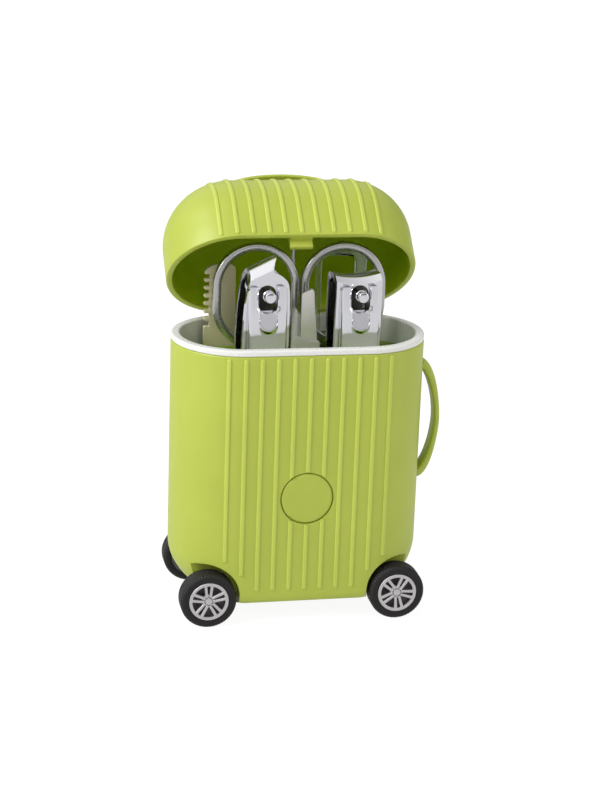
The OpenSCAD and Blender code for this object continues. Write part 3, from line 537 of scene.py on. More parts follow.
HANDLE_HALF, HANDLE_OUT, GAP_HALF, GAP_OUT, HANDLE_FULL = 18.3, 6.3, 15.42, 4.5, 1.7
bar = bowed_bar(bow(HANDLE_HALF, HANDLE_OUT, HANDLE_FULL), bow(GAP_HALF, GAP_OUT, HANDLE_FULL), 2.7,
                lambda u, v: Vector((CASE_W / 2 + v, 0, HANDLE_Z + u)), 0.6)
for end in (-1, 1):
    bar = carve(bar, block((1.6, 4, 2.4), (CASE_W / 2 - 0.1, 0, HANDLE_Z + end * FOOT_Z), 0.15), "UNION")
finish("side_handle_bar", bar, [lime_abs], "case", ["side_handle"], 45)

# ---------- Lid ----------
# The domed upper half, moulded in the same lime ABS; inside, it is painted a more saturated green for the
# green light that bounces between its walls. Ribs run over it from front to back, a catch tongue hangs inside
# the front, and an arm at the back ends in the hinge's middle barrel. It is drawn shut and then swung open.
LID_Z, LID_H, DOME_R, LID_WALL = CASE_H + 1.9, 28.5, 18.5, 1.8
OPEN = math.radians(-48)
SWING = (Matrix.Translation((0, HINGE_Y, HINGE_Z)) @ Matrix.Rotation(OPEN, 4, "X")
         @ Matrix.Translation((0, -HINGE_Y, -HINGE_Z)))
FLAT = END_R - DOME_R

profile = [(0, LID_H), (1, LID_H)] + arc((FLAT, LID_H - DOME_R), DOME_R, 90, 0, 20)
profile += [(END_R, 6), (END_R, 0.5), (END_R - 0.12, 0.15), (END_R - 0.45, 0), (END_R - LID_WALL + 0.4, 0),
            (END_R - LID_WALL + 0.1, 0.12), (END_R - LID_WALL, 0.4), (END_R - LID_WALL, 6)]
profile += arc((FLAT, LID_H - DOME_R), DOME_R - LID_WALL, 0, 90, 16)
profile += [(1, LID_H - LID_WALL), (0, LID_H - LID_WALL)]
lid = turned_track(profile, 48)
bmesh.ops.translate(lid, vec=(0, 0, LID_Z), verts=lid.verts)

beads = []
for x in RIBS:
    past = max(0, abs(x) - STRAIGHT)
    line = [(END_R, 0.6, 1, 0), (END_R, 3, 1, 0), (END_R, 6, 1, 0), (END_R, 9, 1, 0)]
    line += [(FLAT + DOME_R * math.cos(a), LID_H - DOME_R + DOME_R * math.sin(a), math.cos(a), math.sin(a))
             for a in [math.radians(90 * i / 18) for i in range(19)]]
    # The rib's highest point, over the lid's middle line.
    lean = max(0, past - FLAT) / DOME_R
    rise = math.sqrt(1 - lean ** 2)
    line = [p for p in line if p[0] > past + 0.3] + [(past, LID_H - DOME_R + DOME_R * rise, lean, rise)]
    spots = []
    for r, z, nr, nz in line:
        y = -math.sqrt(max(0, r * r - past * past))
        out = Vector((nr * math.copysign(past, x) / r, nr * y / r, nz)) if r else Vector((0, 0, 1))
        spots.append((Vector((x, y, LID_Z + z)) - out * RIB_SINK, out))
    spots += [(Vector((p.x, -p.y, p.z)), Vector((n.x, -n.y, n.z))) for p, n in reversed(spots[:-1])]
    # The bead's first and last sections shrink to a rounded end.
    frames = []
    for i, (p, n) in enumerate(spots):
        along = spots[min(i + 1, len(spots) - 1)][0] - spots[max(i - 1, 0)][0]
        if i in (0, len(spots) - 1):
            ends = bead_scales(10, RIB_HALF, 2)[:5]
            if i:
                ends = [(-d, s) for d, s in reversed(ends)]
            frames += [section(p + along.normalized() * d, along, n, RIB_HALF * s, RIB_T * s)
                       for d, s in ends]
        else:
            frames.append(section(p, along, n, RIB_HALF, RIB_T))
    beads.append(sweep(frames, 16, 0.6))
lid = carve(lid, gather(beads), "UNION")

barrel = rod(BARREL_R, (-LID_BARREL_HALF, HINGE_Y, HINGE_Z), (LID_BARREL_HALF, HINGE_Y, HINGE_Z), 0.2, 40)
arm = carve(block((2 * LID_BARREL_HALF, 2.4, LID_Z - HINGE_Z + 5), (0, 21.7, (LID_Z + 5 + HINGE_Z) / 2), 0.3),
            rod(1.7, (-9, HINGE_Y - 1.9, HINGE_Z - 0.8), (9, HINGE_Y - 1.9, HINGE_Z - 0.8), 0, 24))
arm = carve(arm, barrel, "UNION")
arm = carve(arm, block((14.6, 2.2, 4.8), (0, 20.4, LID_Z + 2.45), 0.1), "UNION")
arm = carve(arm, rod(0.65, (-9, HINGE_Y, HINGE_Z), (9, HINGE_Y, HINGE_Z), 0, 24))
lid = carve(lid, arm, "UNION")
# A thin flap covers the joint at the back, above the barrels.
FLAP_LOW, FLAP_TOP = HINGE_Z + 2.3, LID_Z + 1.1
flap = carve(block((33, 1.2, FLAP_TOP - FLAP_LOW), (0, 21.1, (FLAP_TOP + FLAP_LOW) / 2), 0.2),
             block((32.8, 2.3, 1.1), (0, 20.45, LID_Z + 0.6), 0.1), "UNION")
lid = carve(lid, flap, "UNION")
sockets = [block((2.0, 5.4, 1.8), (end * 17.1, 0, LID_Z + LID_H)) for end in (-1, 1)]
lid = carve(lid, gather(sockets))

tongue = block((6.6, 1.5, 5.2), (0, -16.6, LID_Z + 0.4))
soften(tongue, 0.3, 3, 50)
lid = carve(lid, tongue, "UNION")
bridge = block((6.6, 3.2, 2.8), (0, -17.4, LID_Z + 1.5), 0.1)
lid = carve(lid, bridge, "UNION")

# The lid's inner wall: the same ABS painted a more saturated green, a painted bounce of green light between
# the lid's walls.
lime_inside_painted_bounce = plastic("lime_abs_inside_painted_bounce", "#A8C202", "#9EB800", 0.55, 0.5, 0.02, 1.3)


def inside_lid(face):
    """True for a face on the lid's inner wall."""
    p = face.calc_center_median()
    past = max(0, abs(p.x) - STRAIGHT)
    r, z = math.hypot(past, p.y), p.z - LID_Z
    wall = LID_WALL - 0.3
    if z < 0.3:
        return False
    if z > LID_H - DOME_R and r > FLAT:
        return math.hypot(r - FLAT, z - LID_H + DOME_R) < DOME_R - wall
    return r < END_R - wall and z < LID_H - wall and not (abs(p.x) < 3.4 and p.y < -14 and z < 3.1)


def on_rib(face):
    """True for a face on one of the lid's ribs."""
    p = face.calc_center_median()
    r, z = math.hypot(max(0, abs(p.x) - STRAIGHT), p.y), p.z - LID_Z
    if z > LID_H - DOME_R:
        return z > LID_H + 0.05 or math.hypot(max(0, r - FLAT), z - LID_H + DOME_R) > DOME_R + 0.05
    return END_R + 0.05 < r and z > 0.5 and not (p.y > 0 and (abs(p.x) < 8 or z < 1.3))


# Rib faces take the lighter material, a painted highlight.
for face in lid.faces:
    # Inner wall faces take the painted green bounce light.
    face.material_index = 2 if inside_lid(face) else 1 if on_rib(face) else 0
bmesh.ops.transform(lid, matrix=SWING, verts=lid.verts)
finish("lid_dome", lid, [lime_abs, lime_rib_painted_highlight, lime_inside_painted_bounce], "lid", ["lid_shell"], 32,
       even=False)

# ---------- Carry handle ----------
# A low arched strap on the lid's top, of oblong section, moulded in the same lime ABS. Its two
# feet are pressed into sockets.
strap = bowed_bar(bow(18, 6.2, 2), bow(16.2, 5.0, 2), 2.6,
                  lambda u, v: Vector((u, 0, LID_Z + LID_H + v)), 0.55)
# The bow is cut off just above the ribs, where the feet take over.
strap = carve(strap, block((40, 8, 4), (0, 0, LID_Z + LID_H + 0.5 - 2)))
for end in (-1, 1):
    strap = carve(strap, block((1.8, 5.2, 1.9), (end * 17.1, 0, LID_Z + LID_H + 0.15), 0.12), "UNION")
bmesh.ops.transform(strap, matrix=SWING, verts=strap.verts)
finish("carry_strap", strap, [lime_abs], "lid", ["carry_handle"], 45)

# ---------- Axles and hinge pin ----------
# Plain drawn steel wire, cut to length with a small chamfer at each end. The two axles turn in the
# case's bearings; the pin is pressed through the three hinge barrels.


def metal(name, colour, rough, spread, grain, stretch, depth, variation=0.0):
    """A bare metal: fine streaks of that size in mm, drawn out along one axis, in gloss and height."""
    material = bpy.data.materials.new(name)
    tree = new_tree(material)
    place = add(tree, "TexCoord").outputs["Object"]
    drawn = add(tree, "Mapping", {"Vector": place, "Scale": stretch})
    streak = add(tree, "TexNoise", {"Vector": drawn.outputs[0], "Scale": 1 / (grain * MM), "Detail": 3.0})
    gloss = add(tree, "MapRange", {"Value": streak.outputs["Fac"], "From Min": 0.3, "From Max": 0.7,
                                   "To Min": rough, "To Max": rough + spread})
    bump = add(tree, "Bump", {"Height": streak.outputs["Fac"], "Strength": 0.3, "Distance": depth * MM})
    dull = [c * (1 - variation) for c in linear(colour)[:3]] + [1]
    tone = add(tree, "Mix", {0: streak.outputs["Fac"], 6: linear(colour), 7: dull}, data_type="RGBA")
    surface = add(tree, "BsdfPrincipled", {"Base Color": tone.outputs[2], "Metallic": 1.0,
                                           "Roughness": gloss.outputs[0], "Normal": bump.outputs[0]})
    add(tree, "OutputMaterial", {"Surface": surface.outputs[0]})
    return material


# Drawn steel wire: grey, half bright, with lengthwise drawing lines.
drawn_steel = metal("drawn_steel_wire", "#B9BABC", 0.24, 0.12, 0.3, (1, 1, 1), 0.004, 0.1)

for side, word in ((-1, "left"), (1, "right")):
    wire = rod(1.0, (side * AXLE_X, -19.9, AXLE_Z), (side * AXLE_X, 19.9, AXLE_Z), 0.15, 32)
    finish("axle_wire_" + word, wire, [drawn_steel], "wheels_" + word, ["axle_" + word])
pin = rod(0.6, (-12.75, HINGE_Y, HINGE_Z), (12.75, HINGE_Y, HINGE_Z), 0.1, 24)
finish("hinge_wire", pin, [drawn_steel], "case", ["hinge_pin"])

# ---------- Wheels ----------
# Toy-car wheels: a soft black PVC tyre with a smooth side wall and tread blocks over the
# shoulder, on a rim of silver-painted plastic with five double spokes, a centre cap and lugs.
TYRE_R, TYRE_W, RIM_R = 8.2, 6.4, 5.8
FACE_Y = END_R + 0.9

# Soft PVC: nearly black, dull, with a slightly worn grey bloom.
black_pvc = plastic("black_soft_pvc", "#1B191A", "#232122", 0.5, 0.4, 0.02, 1.33)
# Silver paint on plastic: a fine flake in a satin lacquer, which looks pale from all sides.
silver_paint = metal("silver_painted_plastic", "#CFCBCC", 0.42, 0.1, 0.25, (1, 1, 1), 0.004, 0.05)


# The rims' inner side and the web between the spokes: a dark grey painted as the shade in the recess and on
# the back.
rim_recess_painted_shade = plastic("rim_grey_painted_shade", "#4C4B4D", "#434245", 0.4, 0.5, 0.02)


def tyre():
    """The tyre about +Z, its outer face at z = 0."""
    side = [(RIM_R, -0.35), (RIM_R + 0.12, -0.1), (RIM_R + 0.5, 0), (RIM_R + 1.0, 0)]
    side += arc((TYRE_R - 1.3, -1.3), 1.3, 80, 0, 8)
    half = side + [(TYRE_R, -2.2), (TYRE_R - 0.12, -2.35), (TYRE_R - 0.12, -2.65), (TYRE_R, -2.8),
                   (TYRE_R, -TYRE_W / 2)]
    whole = half + [(r, -TYRE_W - z) for r, z in reversed(half[:-1])]
    whole.append(whole[0])
    bm = spun(whole, (0, 0, 0), (0, 0, 1), 160)
    # Fine cross grooves on the shoulder; the side wall and the crown stay smooth.
    for v in bm.verts:
        r = math.hypot(v.co.x, v.co.y)
        turn = round((math.degrees(math.atan2(v.co.y, v.co.x)) % 360) / 2.25)
        if TYRE_R - 0.75 < r < TYRE_R - 0.02 and turn % 3 == 0:
            v.co.x *= 1 - 0.1 / r
            v.co.y *= 1 - 0.1 / r
            v.co.z += 0.08 if v.co.z < -TYRE_W / 2 else -0.08
    return bm


def rim(phase):
    """The rim about +Z, its outer face at z = 0."""
    ring = [(RIM_R, -TYRE_W), (RIM_R, -0.25), (RIM_R - 0.08, -0.08), (RIM_R - 0.25, 0),
            (RIM_R - 0.8, -0.02), (RIM_R - 0.97, -0.12), (RIM_R - 1.05, -0.35), (RIM_R - 0.95, -1.0),
            (RIM_R - 0.8, -2.0), (RIM_R - 0.75, -TYRE_W), (RIM_R, -TYRE_W)]
    parts = [spun(ring, (0, 0, 0), (0, 0, 1), 72)]
    hub = [(0, -0.3), (0.85, -0.32), (1.0, -0.4), (1.08, -0.6), (1.15, -0.85), (1.75, -0.85), (1.95, -1.0),
           (2.0, -1.6), (1.9, -TYRE_W - 1.5), (0, -TYRE_W - 1.5)]
    parts.append(spun(hub, (0, 0, 0), (0, 0, 1), 40))
    web = [(0, -2.6), (RIM_R - 1.2, -2.6), (RIM_R - 0.7, -2.3), (RIM_R - 0.7, -3.4), (0, -3.4)]
    parts.append(spun(web, (0, 0, 0), (0, 0, 1), 40))
    for i in range(5):
        turn = Matrix.Rotation(math.radians(phase + 72 * i), 3, "Z")
        for lean in (-1, 1):
            # A double spoke: two bars that part a little from the hub to the ring.
            frames = []
            for d in (1.2, 1.9, 2.8, 3.8, 4.95):
                aside = lean * (0.57 + 0.115 * (d - 1.6))
                wide = 0.40 + 0.06 * (d - 1) / 3.85
                along = (1, lean * 0.115, 0)
                frames.append(section((d, aside, -0.95 + 0.08 * d), along, (0, 0, 1), wide, 0.5))
            spoke = sweep(frames, 16, 0.45)
            bmesh.ops.rotate(spoke, cent=(0, 0, 0), matrix=turn, verts=spoke.verts)
            parts.append(spoke)
        lug = spun([(0, 0.2), (0.2, 0.16), (0.27, 0.05), (0.28, -0.3), (0, -0.3)], (-1.6, 0, -0.8),
                   (0, 0, 1), 16)
        bmesh.ops.rotate(lug, cent=(0, 0, 0), matrix=turn, verts=lug.verts)
        parts.append(lug)
    return gather(parts)


for side, word, phases in ((-1, "left", (19, 47)), (1, "right", (-9, 30))):
    for face, end, phase in ((-1, "front", phases[0]), (1, "rear", phases[1])):
        seat = (Matrix.Translation((side * AXLE_X, face * FACE_Y, AXLE_Z))
                @ Matrix.Rotation(math.radians(90 if face < 0 else -90), 4, "X"))
        for kind, bm, materials, slot in (("tyre", tyre(), [black_pvc], "tyre_rubber"),
                                          ("rim", rim(phase), [silver_paint, rim_recess_painted_shade], "silver_plastic")):
            # Rim faces behind the outer face take the dark painted shade.
            for f in bm.faces:
                f.material_index = 1 if kind == "rim" and f.calc_center_median().z < -1.9 else 0
            bmesh.ops.transform(bm, matrix=seat, verts=bm.verts)
            finish("wheel_%s_%s_%s" % (kind, end, word), bm, materials, "wheels_" + word,
                   ["%s_%s_%s" % (kind, end, word)], 40, even=(kind == "rim"))

# ---------- Nail clippers ----------
# Two pressed steel clippers, polished and chromium plated. Each has two spring leaves riveted
# at the tail, a stud through the jaws, and a lever whose fork straddles the stud.
CLIP_L, CLIP_W, JAW, LEAF_T, CLIP_Y = 62, 13.8, 4.2, 1.3, -4.2
POST_Z = CLIP_L - 5.8

# Bright chromium on polished steel: nearly a mirror, with the faint haze of wiping.
chrome = metal("bright_chromium_plate", "#E2E2E7", 0.05, 0.04, 1.2, (1, 1, 0.25), 0.002, 0.03)
# The leaves' inner sides and the seat round the stud's hole: plated steel painted dark, a painted shade in
# the notch behind the lever.
painted_shade_steel = metal("plated_steel_painted_shade", "#5E5D58", 0.38, 0.12, 0.4, (1, 1, 0.3), 0.006, 0.15)
# The jaws' sloping faces: ground after pressing, then plated, so a little softer than the rest.
ground_steel = metal("ground_plated_steel", "#E6E6EA", 0.2, 0.08, 0.3, (0.3, 1, 1), 0.003, 0.05)


def plate(points, front, thick):
    """A flat outline of (x, z) points made thick towards +Y."""
    bm = bmesh.new()
    face = bm.faces.new([bm.verts.new((x, front, z)) for x, z in points])
    new = bmesh.ops.extrude_face_region(bm, geom=[face])["geom"]
    bmesh.ops.translate(bm, vec=(0, thick, 0), verts=verts_of(new))
    bmesh.ops.recalc_face_normals(bm, faces=bm.faces)
    return bm


def smooth_line(points, steps=5):
    """A curve through points, as a row of closer points."""

    def between(p, q, r, s, t):
        """The Catmull-Rom curve from q to r, with p and s as their neighbours."""
        square, cube = 2 * p - 5 * q + 4 * r - s, 3 * q - p - 3 * r + s
        return 0.5 * (2 * q + (r - p) * t + square * t * t + cube * t ** 3)

    line = []
    full = [points[0]] + list(points) + [points[-1]]
    for spots in zip(full, full[1:], full[2:], full[3:]):
        line += [tuple(between(*values, i / steps) for values in zip(*spots)) for i in range(steps)]
    return line + [tuple(points[-1])]


def ribbon(outline, stations, move):
    """A side view (distance in front of the leaves' joint, height) drawn out along x, with each
    point shifted by move(x, y, z)."""
    bm = bmesh.new()
    rows = [[bm.verts.new(Vector((x, -y, z)) + move(x, -y, z)) for y, z in outline] for x in stations]
    for a, b in zip(rows, rows[1:]):
        for i in range(len(a)):
            bm.faces.new((a[i - 1], a[i], b[i], b[i - 1]))
    bm.faces.new(rows[0])
    bm.faces.new(rows[-1])
    bmesh.ops.recalc_face_normals(bm, faces=bm.faces)
    return bm


UPPER_HOLE_R, LOWER_HOLE_R, SLOT, SEAT_R, SEAT_DEEP = 2.6, 1.45, 4.4, 2.8, 0.15


def leaf(slanted, hole):
    """The front leaf: a strip that swells forward and ends in a jaw under a rounded ground slope.
    The straight edge is a little hollow; the slanted one rises to a beak."""
    half, top = CLIP_W / 2, CLIP_L
    drop = 2.3 if slanted else 1.75
    outline = smooth_line([(1.55, 0), (2.3, 14), (3.1, 26), (3.7, 36), (4.1, 46), (JAW, 54)], 3)
    outline += [(JAW, top - drop - 1.5), (JAW - 0.04, top - drop - 0.5), (JAW + 0.06, top - drop - 0.12)]
    if slanted:
        slope = [(-0.02, 1), (0.7, 0.66), (1.5, 0.36), (2.4, 0.14), (3.2, 0.04)]
    else:
        slope = [(-0.02, 1), (0.5, 0.72), (1.0, 0.42), (1.6, 0.16), (2.2, 0.05)]
    outline += [(JAW - inwards, top - share * drop) for inwards, share in slope] + [(0.15, top)]
    outline += [(0.15, top - 1.3), (JAW - LEAF_T, top - drop - 1.4), (JAW - LEAF_T, 54), (4.1 - LEAF_T, 46),
                (3.7 - LEAF_T, 36), (3.1 - LEAF_T, 26), (2.3 - LEAF_T, 14), (0.25, 4), (0.25, 0)]

    def move(x, y, z):
        share = min(max((z - 54) / (top - drop - 1.5 - 54), 0), 1)
        return Vector((0, 0, share * (0.43 * x + 3.05 if slanted else -0.9 * (1 - (x / half) ** 2))))

    bm = ribbon(outline, [(half + 0.4) * (i / 10 - 1) for i in range(21)], move)
    foot = [(-half, 31), (-half + 0.7, 14), (-half + 1.6, 1), (-half + 2.4, 0)]
    foot += [(-x, z) for x, z in reversed(foot)]
    if slanted:
        shoulder = [(half, 50), (half - 0.05, 54), (half - 0.2, 57.1), (half - 0.7, 59.4), (4.8, 61.05),
                    (3.4, 62.0), (2.4, 62.6), (1.85, 63.15)]
        beak = [(1.95, 63.8), (2.4, 64.9), (2.95, 65.8), (3.4, 66.8), (3.5, 72)]
        far = [(-4.5, 72), (-4.6, 63.1), (-5.1, 60.2), (-5.85, 56.7), (-6.4, 51.8), (-half, 43)]
        edge = foot + [(half, 44)] + smooth_line(shoulder, 4) + smooth_line(beak, 3) + smooth_line(far, 4)
    else:
        edge = foot + [(half, 70), (-half, 70)]
    bm = carve(bm, plate(edge, -8, 16), "INTERSECT")
    soften(bm, 0.2, 2, 38)
    bm = carve(bm, rod(hole, (0, -9, POST_Z), (0, 9, POST_Z), 0, 48))
    if hole == UPPER_HOLE_R:
        bm = carve(bm, block((SLOT, 8, SLOT), (0, -JAW, POST_Z - SLOT / 2)))
        # A shallow seat round the hole, whose faces are painted dark as shade.
        floor_y = SEAT_DEEP - JAW
        seat = carve(rod(SEAT_R, (0, -9, POST_Z), (0, floor_y, POST_Z), 0, 48),
                     block((5.4, floor_y + 9, 4.6), (0, (floor_y - 9) / 2, POST_Z - 2.3)), "UNION")
        bm = carve(bm, seat)
    return carve(bm, rod(0.8, (0, -9, 5), (0, 9, 5), 0, 16))


def lever():
    """The lever: a pressed plate whose fork stands round the stud. Below the notch a rounded
    tongue is pressed back at its top and forward at its foot. The prongs lean back to the leaf."""
    half, front, top = 5.75, -JAW - 2.1, POST_Z + 2.7
    heights = [top - 46, top - 36, top - 26] + [POST_Z - 13 + 0.25 * i for i in range(62)] + [top]
    outline = [(-front, z) for z in heights] + [(-front - 1.2, z) for z in reversed(heights)]

    def move(x, y, z):
        rise, wide = z - POST_Z, abs(x)
        y = math.sqrt(max(rise + 5.2, 0) ** 2 + 0.3) * 0.1 - 0.055 if rise > -5.6 else 0
        y += 0.9 - math.sqrt(max(0.81 - max(wide - half + 0.9, 0) ** 2, 0))
        # The prongs' inner edges are rolled back towards the notch.
        if rise > -4.6:
            y += 0.45 * min(max((3.6 - wide) / 0.8, 0), 1) ** 2 * min((rise + 4.6) / 1.6, 1)
        # The tongue: its wall is steep at the sides and slopes gently below the foot.
        low = max(-rise - 7.9, 0)
        outer, inner = math.hypot(wide / 2.9, low / 3.6), math.hypot(wide / 2.45, low / 1.9)
        if rise < -4.4 and outer < 1:
            edge = 1 if inner < 1 else (1 - outer) / (inner - outer)
            edge = edge * edge * (3 - 2 * edge)
            y += edge * (0.95 - 0.34 * (-rise - 4.6))
        return Vector((0, y, 0))

    bm = ribbon(outline, [half * math.sin(math.pi / 2 * (i / 28 - 1)) for i in range(57)], move)
    shape = [(-half + 1, top - 47), (half - 1, top - 47), (half + 0.1, top - 16), (half + 0.1, top - 1.4),
             (half - 0.35, top - 0.45), (half - 1.1, top - 0.05), (2.95, top - 0.05), (2.85, top - 0.2)]
    shape += arc((0, POST_Z - 2.4), 2.85, 0, -180, 20)
    shape += [(-x, z) for x, z in reversed(shape[2:8])]
    return carve(bm, plate(shape, front - 3, 8), "INTERSECT")


def stud():
    """The stud: a flat turned head, a collar behind it, and a flat head behind the jaws."""
    f = -JAW - 3.8
    front = [(0, 0), (1.3, 0), (1.45, 0.06), (1.56, 0.25), (1.6, 0.9), (1.5, 1.1), (1.2, 1.2),
             (1.2, 1.9), (1.6, 1.95), (1.75, 2.1), (1.75, 2.6), (1.65, 2.75), (1.0, 2.8)]
    tail = [(1.0, 12.1), (1.6, 12.15), (1.75, 12.3), (1.7, 12.6), (1.3, 12.75), (0, 12.8)]
    return spun(front + tail, (0, f, POST_Z), (0, 1, 0), 48)


def rivet():
    """The tail rivet, with a low domed head on both leaves."""
    reach = 2.3
    head = [(0, -0.45), (0.7, -0.4), (1.2, -0.22), (1.4, 0), (0.8, 0.02)]
    profile = [(r, h - reach) for r, h in head] + [(r, reach - h) for r, h in reversed(head)]
    return spun(profile, (0, 0, 5), (0, 1, 0), 24)


for word, x, foot, slanted in (("straight", STRAIGHT_X, STRAIGHT_FOOT, False),
                               ("slant", SLANT_X, SLANT_FOOT, True)):
    body = word + "_clipper"
    lower = leaf(slanted, LOWER_HOLE_R)
    bmesh.ops.scale(lower, vec=(1, -1, 1), verts=lower.verts)
    bmesh.ops.recalc_face_normals(lower, faces=lower.faces)
    for kind, bm, rides in (("upper_leaf", leaf(slanted, UPPER_HOLE_R), body), ("lower_leaf", lower, body),
                            ("post", stud(), body), ("rivet", rivet(), body),
                            ("lever", lever(), body + "_lever")):
        if kind.endswith("leaf"):
            inward = 1 if kind == "upper_leaf" else -1
            # The seat round the stud and the faces turned inwards behind it take the dark painted shade; the
            # upper slopes take the ground steel.
            for face in bm.faces:
                p, n = face.calc_center_median(), face.normal
                seat = abs(p.x) < 2.85 and -4.65 < p.z - POST_Z < 2.85 and p.y * inward > 0.1 - JAW
                behind = n.y * inward > 0.6 and abs(p.x) < 3.4 and abs(p.z - POST_Z) < 9
                ground = n.z > 0.25 and abs(p.y) > 0.16 and p.z > CLIP_L - 5 and p.y * n.y > 0
                face.material_index = 1 if seat or behind else 2 if ground else 0
        bmesh.ops.transform(bm, matrix=Matrix.Translation((x, CLIP_Y, foot)) @ CLIP_TURN, verts=bm.verts)
        finish("%s_clipper_%s" % (word, kind), bm, [chrome, painted_shade_steel, ground_steel], rides,
               ["%s_%s" % (word, kind)], 30)

# ---------- Nail scissors ----------
# Drop-forged steel, ground and satin polished: round-edged finger rings, shanks that cross at
# a screw, and flat tapering blades down in their pocket.
SCISSORS_X, SCISSORS_Y, PIVOT_Z = 1.5, 7.5, CASE_H - 21.2
RING_W, RING_H, RING_BAR, RING_TOP = 25.4, 31.6, 2.5, 26.4
RING_STEPS, BAR_STEPS = 48, 16

# Satin-polished steel: a soft grey metal with fine scratches across the bar.
satin_steel = metal("satin_polished_steel", "#C2C1C0", 0.2, 0.14, 0.35, (1, 1, 3), 0.004, 0.08)


def scissor_half(side, layer):
    """One half, drawn for the left ring; the other is its mirror image in the other layer."""
    middle = (RING_W + 0.4) / -2
    centre = CASE_H + RING_TOP - RING_H / 2 - PIVOT_Z
    r, rise = (RING_W - RING_BAR) / 2, (RING_H - RING_W) / 2
    loop = [(middle + r * math.cos(a), centre + math.copysign(rise, math.sin(a)) + r * math.sin(a))
            for a in [2 * math.pi * (i + 0.5) / RING_STEPS for i in range(RING_STEPS)]]
    bm = bmesh.new()
    rings = []
    for i, (x, z) in enumerate(loop):
        ahead, behind = Vector(loop[(i + 1) % RING_STEPS]), Vector(loop[i - 1])
        along = Vector((ahead.x - behind.x, 0, ahead.y - behind.y))
        frame_ = section((x, 0, z), along, (0, 1, 0), RING_BAR / 2, 1.45)
        made = bmesh.ops.create_circle(bm, segments=BAR_STEPS, radius=1)["verts"]
        for v in made:
            for k in (0, 1):
                v.co[k] = math.copysign(abs(v.co[k]) ** 0.6, v.co[k])
        bmesh.ops.transform(bm, matrix=frame_, verts=made)
        rings.append(made)
    for a, b in zip(rings, rings[1:] + rings[:1]):
        for i in range(BAR_STEPS):
            bm.faces.new((a[i], a[i - 1], b[i - 1], b[i]))
    bmesh.ops.recalc_face_normals(bm, faces=bm.faces)
    y = layer * 0.8
    low = centre - RING_H / 2
    shank = plate([(middle + 2, low + 0.9), (middle + 8, low + 2.2), (-1.2, 5), (3.2, 2), (3.6, -4),
                   (2.4, -30), (0.4, -34), (-0.6, -31), (-3.4, -3), (-4.6, 4)], y - 0.7, 1.4)
    soften(shank, 0.3, 2, 38)
    shank = carve(shank, rod(0.95, (0, -4, 0), (0, 4, 0), 0, 24))
    bm = gather([bm, shank])
    if side > 0:
        bmesh.ops.scale(bm, vec=(-1, 1, 1), verts=bm.verts)
        bmesh.ops.recalc_face_normals(bm, faces=bm.faces)
    bmesh.ops.translate(bm, vec=(SCISSORS_X, SCISSORS_Y, PIVOT_Z), verts=bm.verts)
    return bm


for word, way, body in (("left", -1, "scissors"), ("right", 1, "scissors_half")):
    finish("scissors_half_" + word, scissor_half(way, way), [satin_steel], body, ["scissors_" + word])
screw = spun([(0, -2.0), (1.5, -2.0), (1.75, -1.85), (1.8, -1.55), (0.9, -1.5), (0.9, 1.5),
              (1.4, 1.55), (1.3, 1.8), (0, 1.8)], (SCISSORS_X, SCISSORS_Y, PIVOT_Z), (0, 1, 0), 32)
screw = carve(screw, block((4, 0.8, 0.5), (SCISSORS_X, SCISSORS_Y - 2.0, PIVOT_Z)))
finish("scissors_pivot_screw", screw, [satin_steel], "scissors", ["scissors_screw"])

# ---------- File and grip ----------
# A flat satin steel blade with a skewed end, pressed into a grey plastic grip whose mouth is
# cut on a slope.
FILE_X, FILE_Y = 2.1, -0.4

# Brushed stainless steel, drawn lengthwise.
brushed_steel = metal("brushed_stainless_steel", "#F4F0EE", 0.45, 0.12, 0.5, (3, 3, 0.15), 0.006, 0.1)
# Grey polypropylene, moulded satin.
grey_pp = plastic("grey_polypropylene", "#CFCEC6", "#C6C6BD", 0.42, 0.5, 0.02)

blade = plate([(-1.67, 58.8), (3.33, 58.8), (3.33, 75.3), (2.43, 84.0), (2.13, 88.4), (1.53, 89.15),
               (-1.57, 87.8)], -0.55, 1.1)
soften(blade, 0.18, 2, 30)
bmesh.ops.translate(blade, vec=(FILE_X, FILE_Y, 0), verts=blade.verts)
finish("flat_blade", blade, [brushed_steel], "file", ["flat_file"])
grip = plate([(-4, SMALL_Z), (4, SMALL_Z), (4, 73.6), (3.6, 73.8), (1.6, 74.0), (-0.8, 74.7),
              (-2.4, 75.4), (-2.8, 76.2), (-2.8, 83.0), (-3.1, 83.5), (-3.6, 83.5), (-3.9, 83.0),
              (-4, 77.0)], -1.8, 3.6)
soften(grip, 0.35, 3, 30)
grip = carve(grip, block((5.2, 1.3, 40), (0.83, 0, 78.7)))
bmesh.ops.translate(grip, vec=(FILE_X, FILE_Y, 0), verts=grip.verts)
finish("blade_grip", grip, [grey_pp], "file", ["file_grip"])

# ---------- Ear pick ----------
# A thin turned steel rod, satin polished, that tapers to a small ball. It stands at the back of
# the tray in a narrow pocket.
TIP_Z = CASE_H + 24.2
pick = [(0, SMALL_Z), (0.65, SMALL_Z), (0.8, SMALL_Z + 0.2), (0.8, TIP_Z - 7.4), (0.72, TIP_Z - 5.2),
        (0.5, TIP_Z - 1.2), (0.44, TIP_Z - 0.6)]
pick += arc((0, TIP_Z), 0.8, -50, 72, 7) + [(0, TIP_Z + 0.8)]
pick = spun(pick, (0.2, 11.7, 0), (0, 0, 1), 24)
finish("pick_rod", pick, [satin_steel], "pick", ["ear_pick"])

# ---------- Comb ----------
# A flat moulding in cream polystyrene: a rounded head, short teeth along one edge and a wider
# foot that stands in its pocket.
COMB_X, COMB_Y, COMB_TOP = -21.3, 12, CASE_H + 19.2

# Cream polystyrene: warm, slightly glossy, moulded smooth.
cream_ps = plastic("cream_polystyrene", "#C6C09C", "#BDB792", 0.34, 0.8, 0.015)

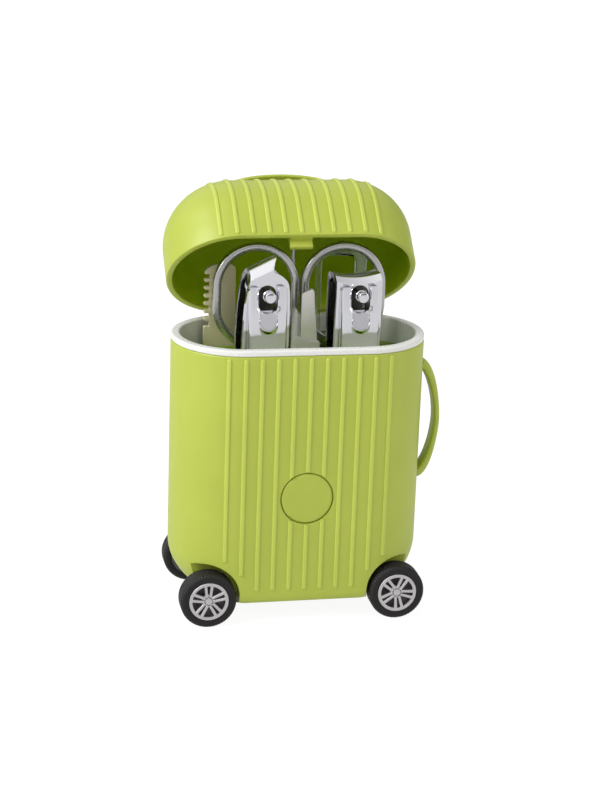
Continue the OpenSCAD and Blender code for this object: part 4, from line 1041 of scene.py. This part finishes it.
FIRST_Z, TOOTH_PITCH = COMB_TOP - 3, 2.35
edge = [(-4.6, SMALL_Z), (4.6, SMALL_Z)]
edge += smooth_line([(x, COMB_TOP - down) for x, down in
                     ((4.6, 2.4), (4.35, 1.1), (3.6, 0.3), (2.4, 0), (0, 0), (-1.8, 0.3), (-3.4, 1.1),
                      (-4.35, 2.0), (-4.6, 2.5))], 3)
edge += [(-4.6, FIRST_Z + 0.2), (-4.4, FIRST_Z), (-3, FIRST_Z)]
for i in range(1, 7):
    z = FIRST_Z - i * TOOTH_PITCH
    edge += [(-3, z + 1.05), (-4.3, z + 1.0), (-4.6, z + 0.75), (-4.6, z + 0.3), (-4.3, z + 0.05), (-3, z)]
edge += [(-3, CASE_H + 0.5), (-4.3, CASE_H + 0.5), (-4.6, CASE_H + 0.2)]
comb = plate(edge, -0.9, 1.8)
soften(comb, 0.15, 2, 38)
# The gaps run on over the spine as shallow grooves.
grooves = [block((1.6, 0.5, 1.3), (-2.3, -0.9, FIRST_Z - (i + 0.5) * TOOTH_PITCH + 0.52)) for i in range(6)]
comb = carve(comb, gather(grooves))
bmesh.ops.translate(comb, vec=(COMB_X, COMB_Y, 0), verts=comb.verts)
finish("small_comb", comb, [cream_ps], "comb_piece", ["comb"])

# ---------- Clear holder ----------
# A flat frame moulded in clear polystyrene, open above the tray and solid below, where it
# stands in its pocket behind the straight clipper.
HOLDER_X, HOLDER_Y = 14.7, 11.8

clear_ps = bpy.data.materials.new("clear_polystyrene")
tree = new_tree(clear_ps)
place = add(tree, "TexCoord").outputs["Object"]
ripple = add(tree, "TexNoise", {"Vector": place, "Scale": 1 / (3 * MM), "Detail": 1.0})
bump = add(tree, "Bump", {"Height": ripple.outputs["Fac"], "Strength": 0.2, "Distance": 0.05 * MM})
haze = add(tree, "MapRange", {"Value": ripple.outputs["Fac"], "To Min": 0.05, "To Max": 0.14})
surface = add(tree, "BsdfPrincipled", {"Base Color": linear("#EEF2EA"), "Roughness": haze.outputs[0],
                                       "Normal": bump.outputs[0], "Transmission Weight": 0.94,
                                       "IOR": 1.55})
add(tree, "OutputMaterial", {"Surface": surface.outputs[0]})

window = plate([(-5.9, 72.8), (4.3, 72.8), (4.3, 94.6), (2.9, 96.0), (-4.5, 96.0), (-5.9, 94.6)], -3, 6)
frame_bar = plate([(-7.5, SMALL_Z), (7.5, SMALL_Z), (7.5, 95.6), (7.0, 97.0), (6.0, 97.6), (-6.0, 97.6),
                   (-7.0, 97.0), (-7.5, 95.6)], -1.3, 2.6)
frame_bar = carve(frame_bar, window)
soften(frame_bar, 0.3, 3, 30)
bmesh.ops.translate(frame_bar, vec=(HOLDER_X, HOLDER_Y, 0), verts=frame_bar.verts)
finish("clear_frame", frame_bar, [clear_ps], "holder", ["clear_holder"])
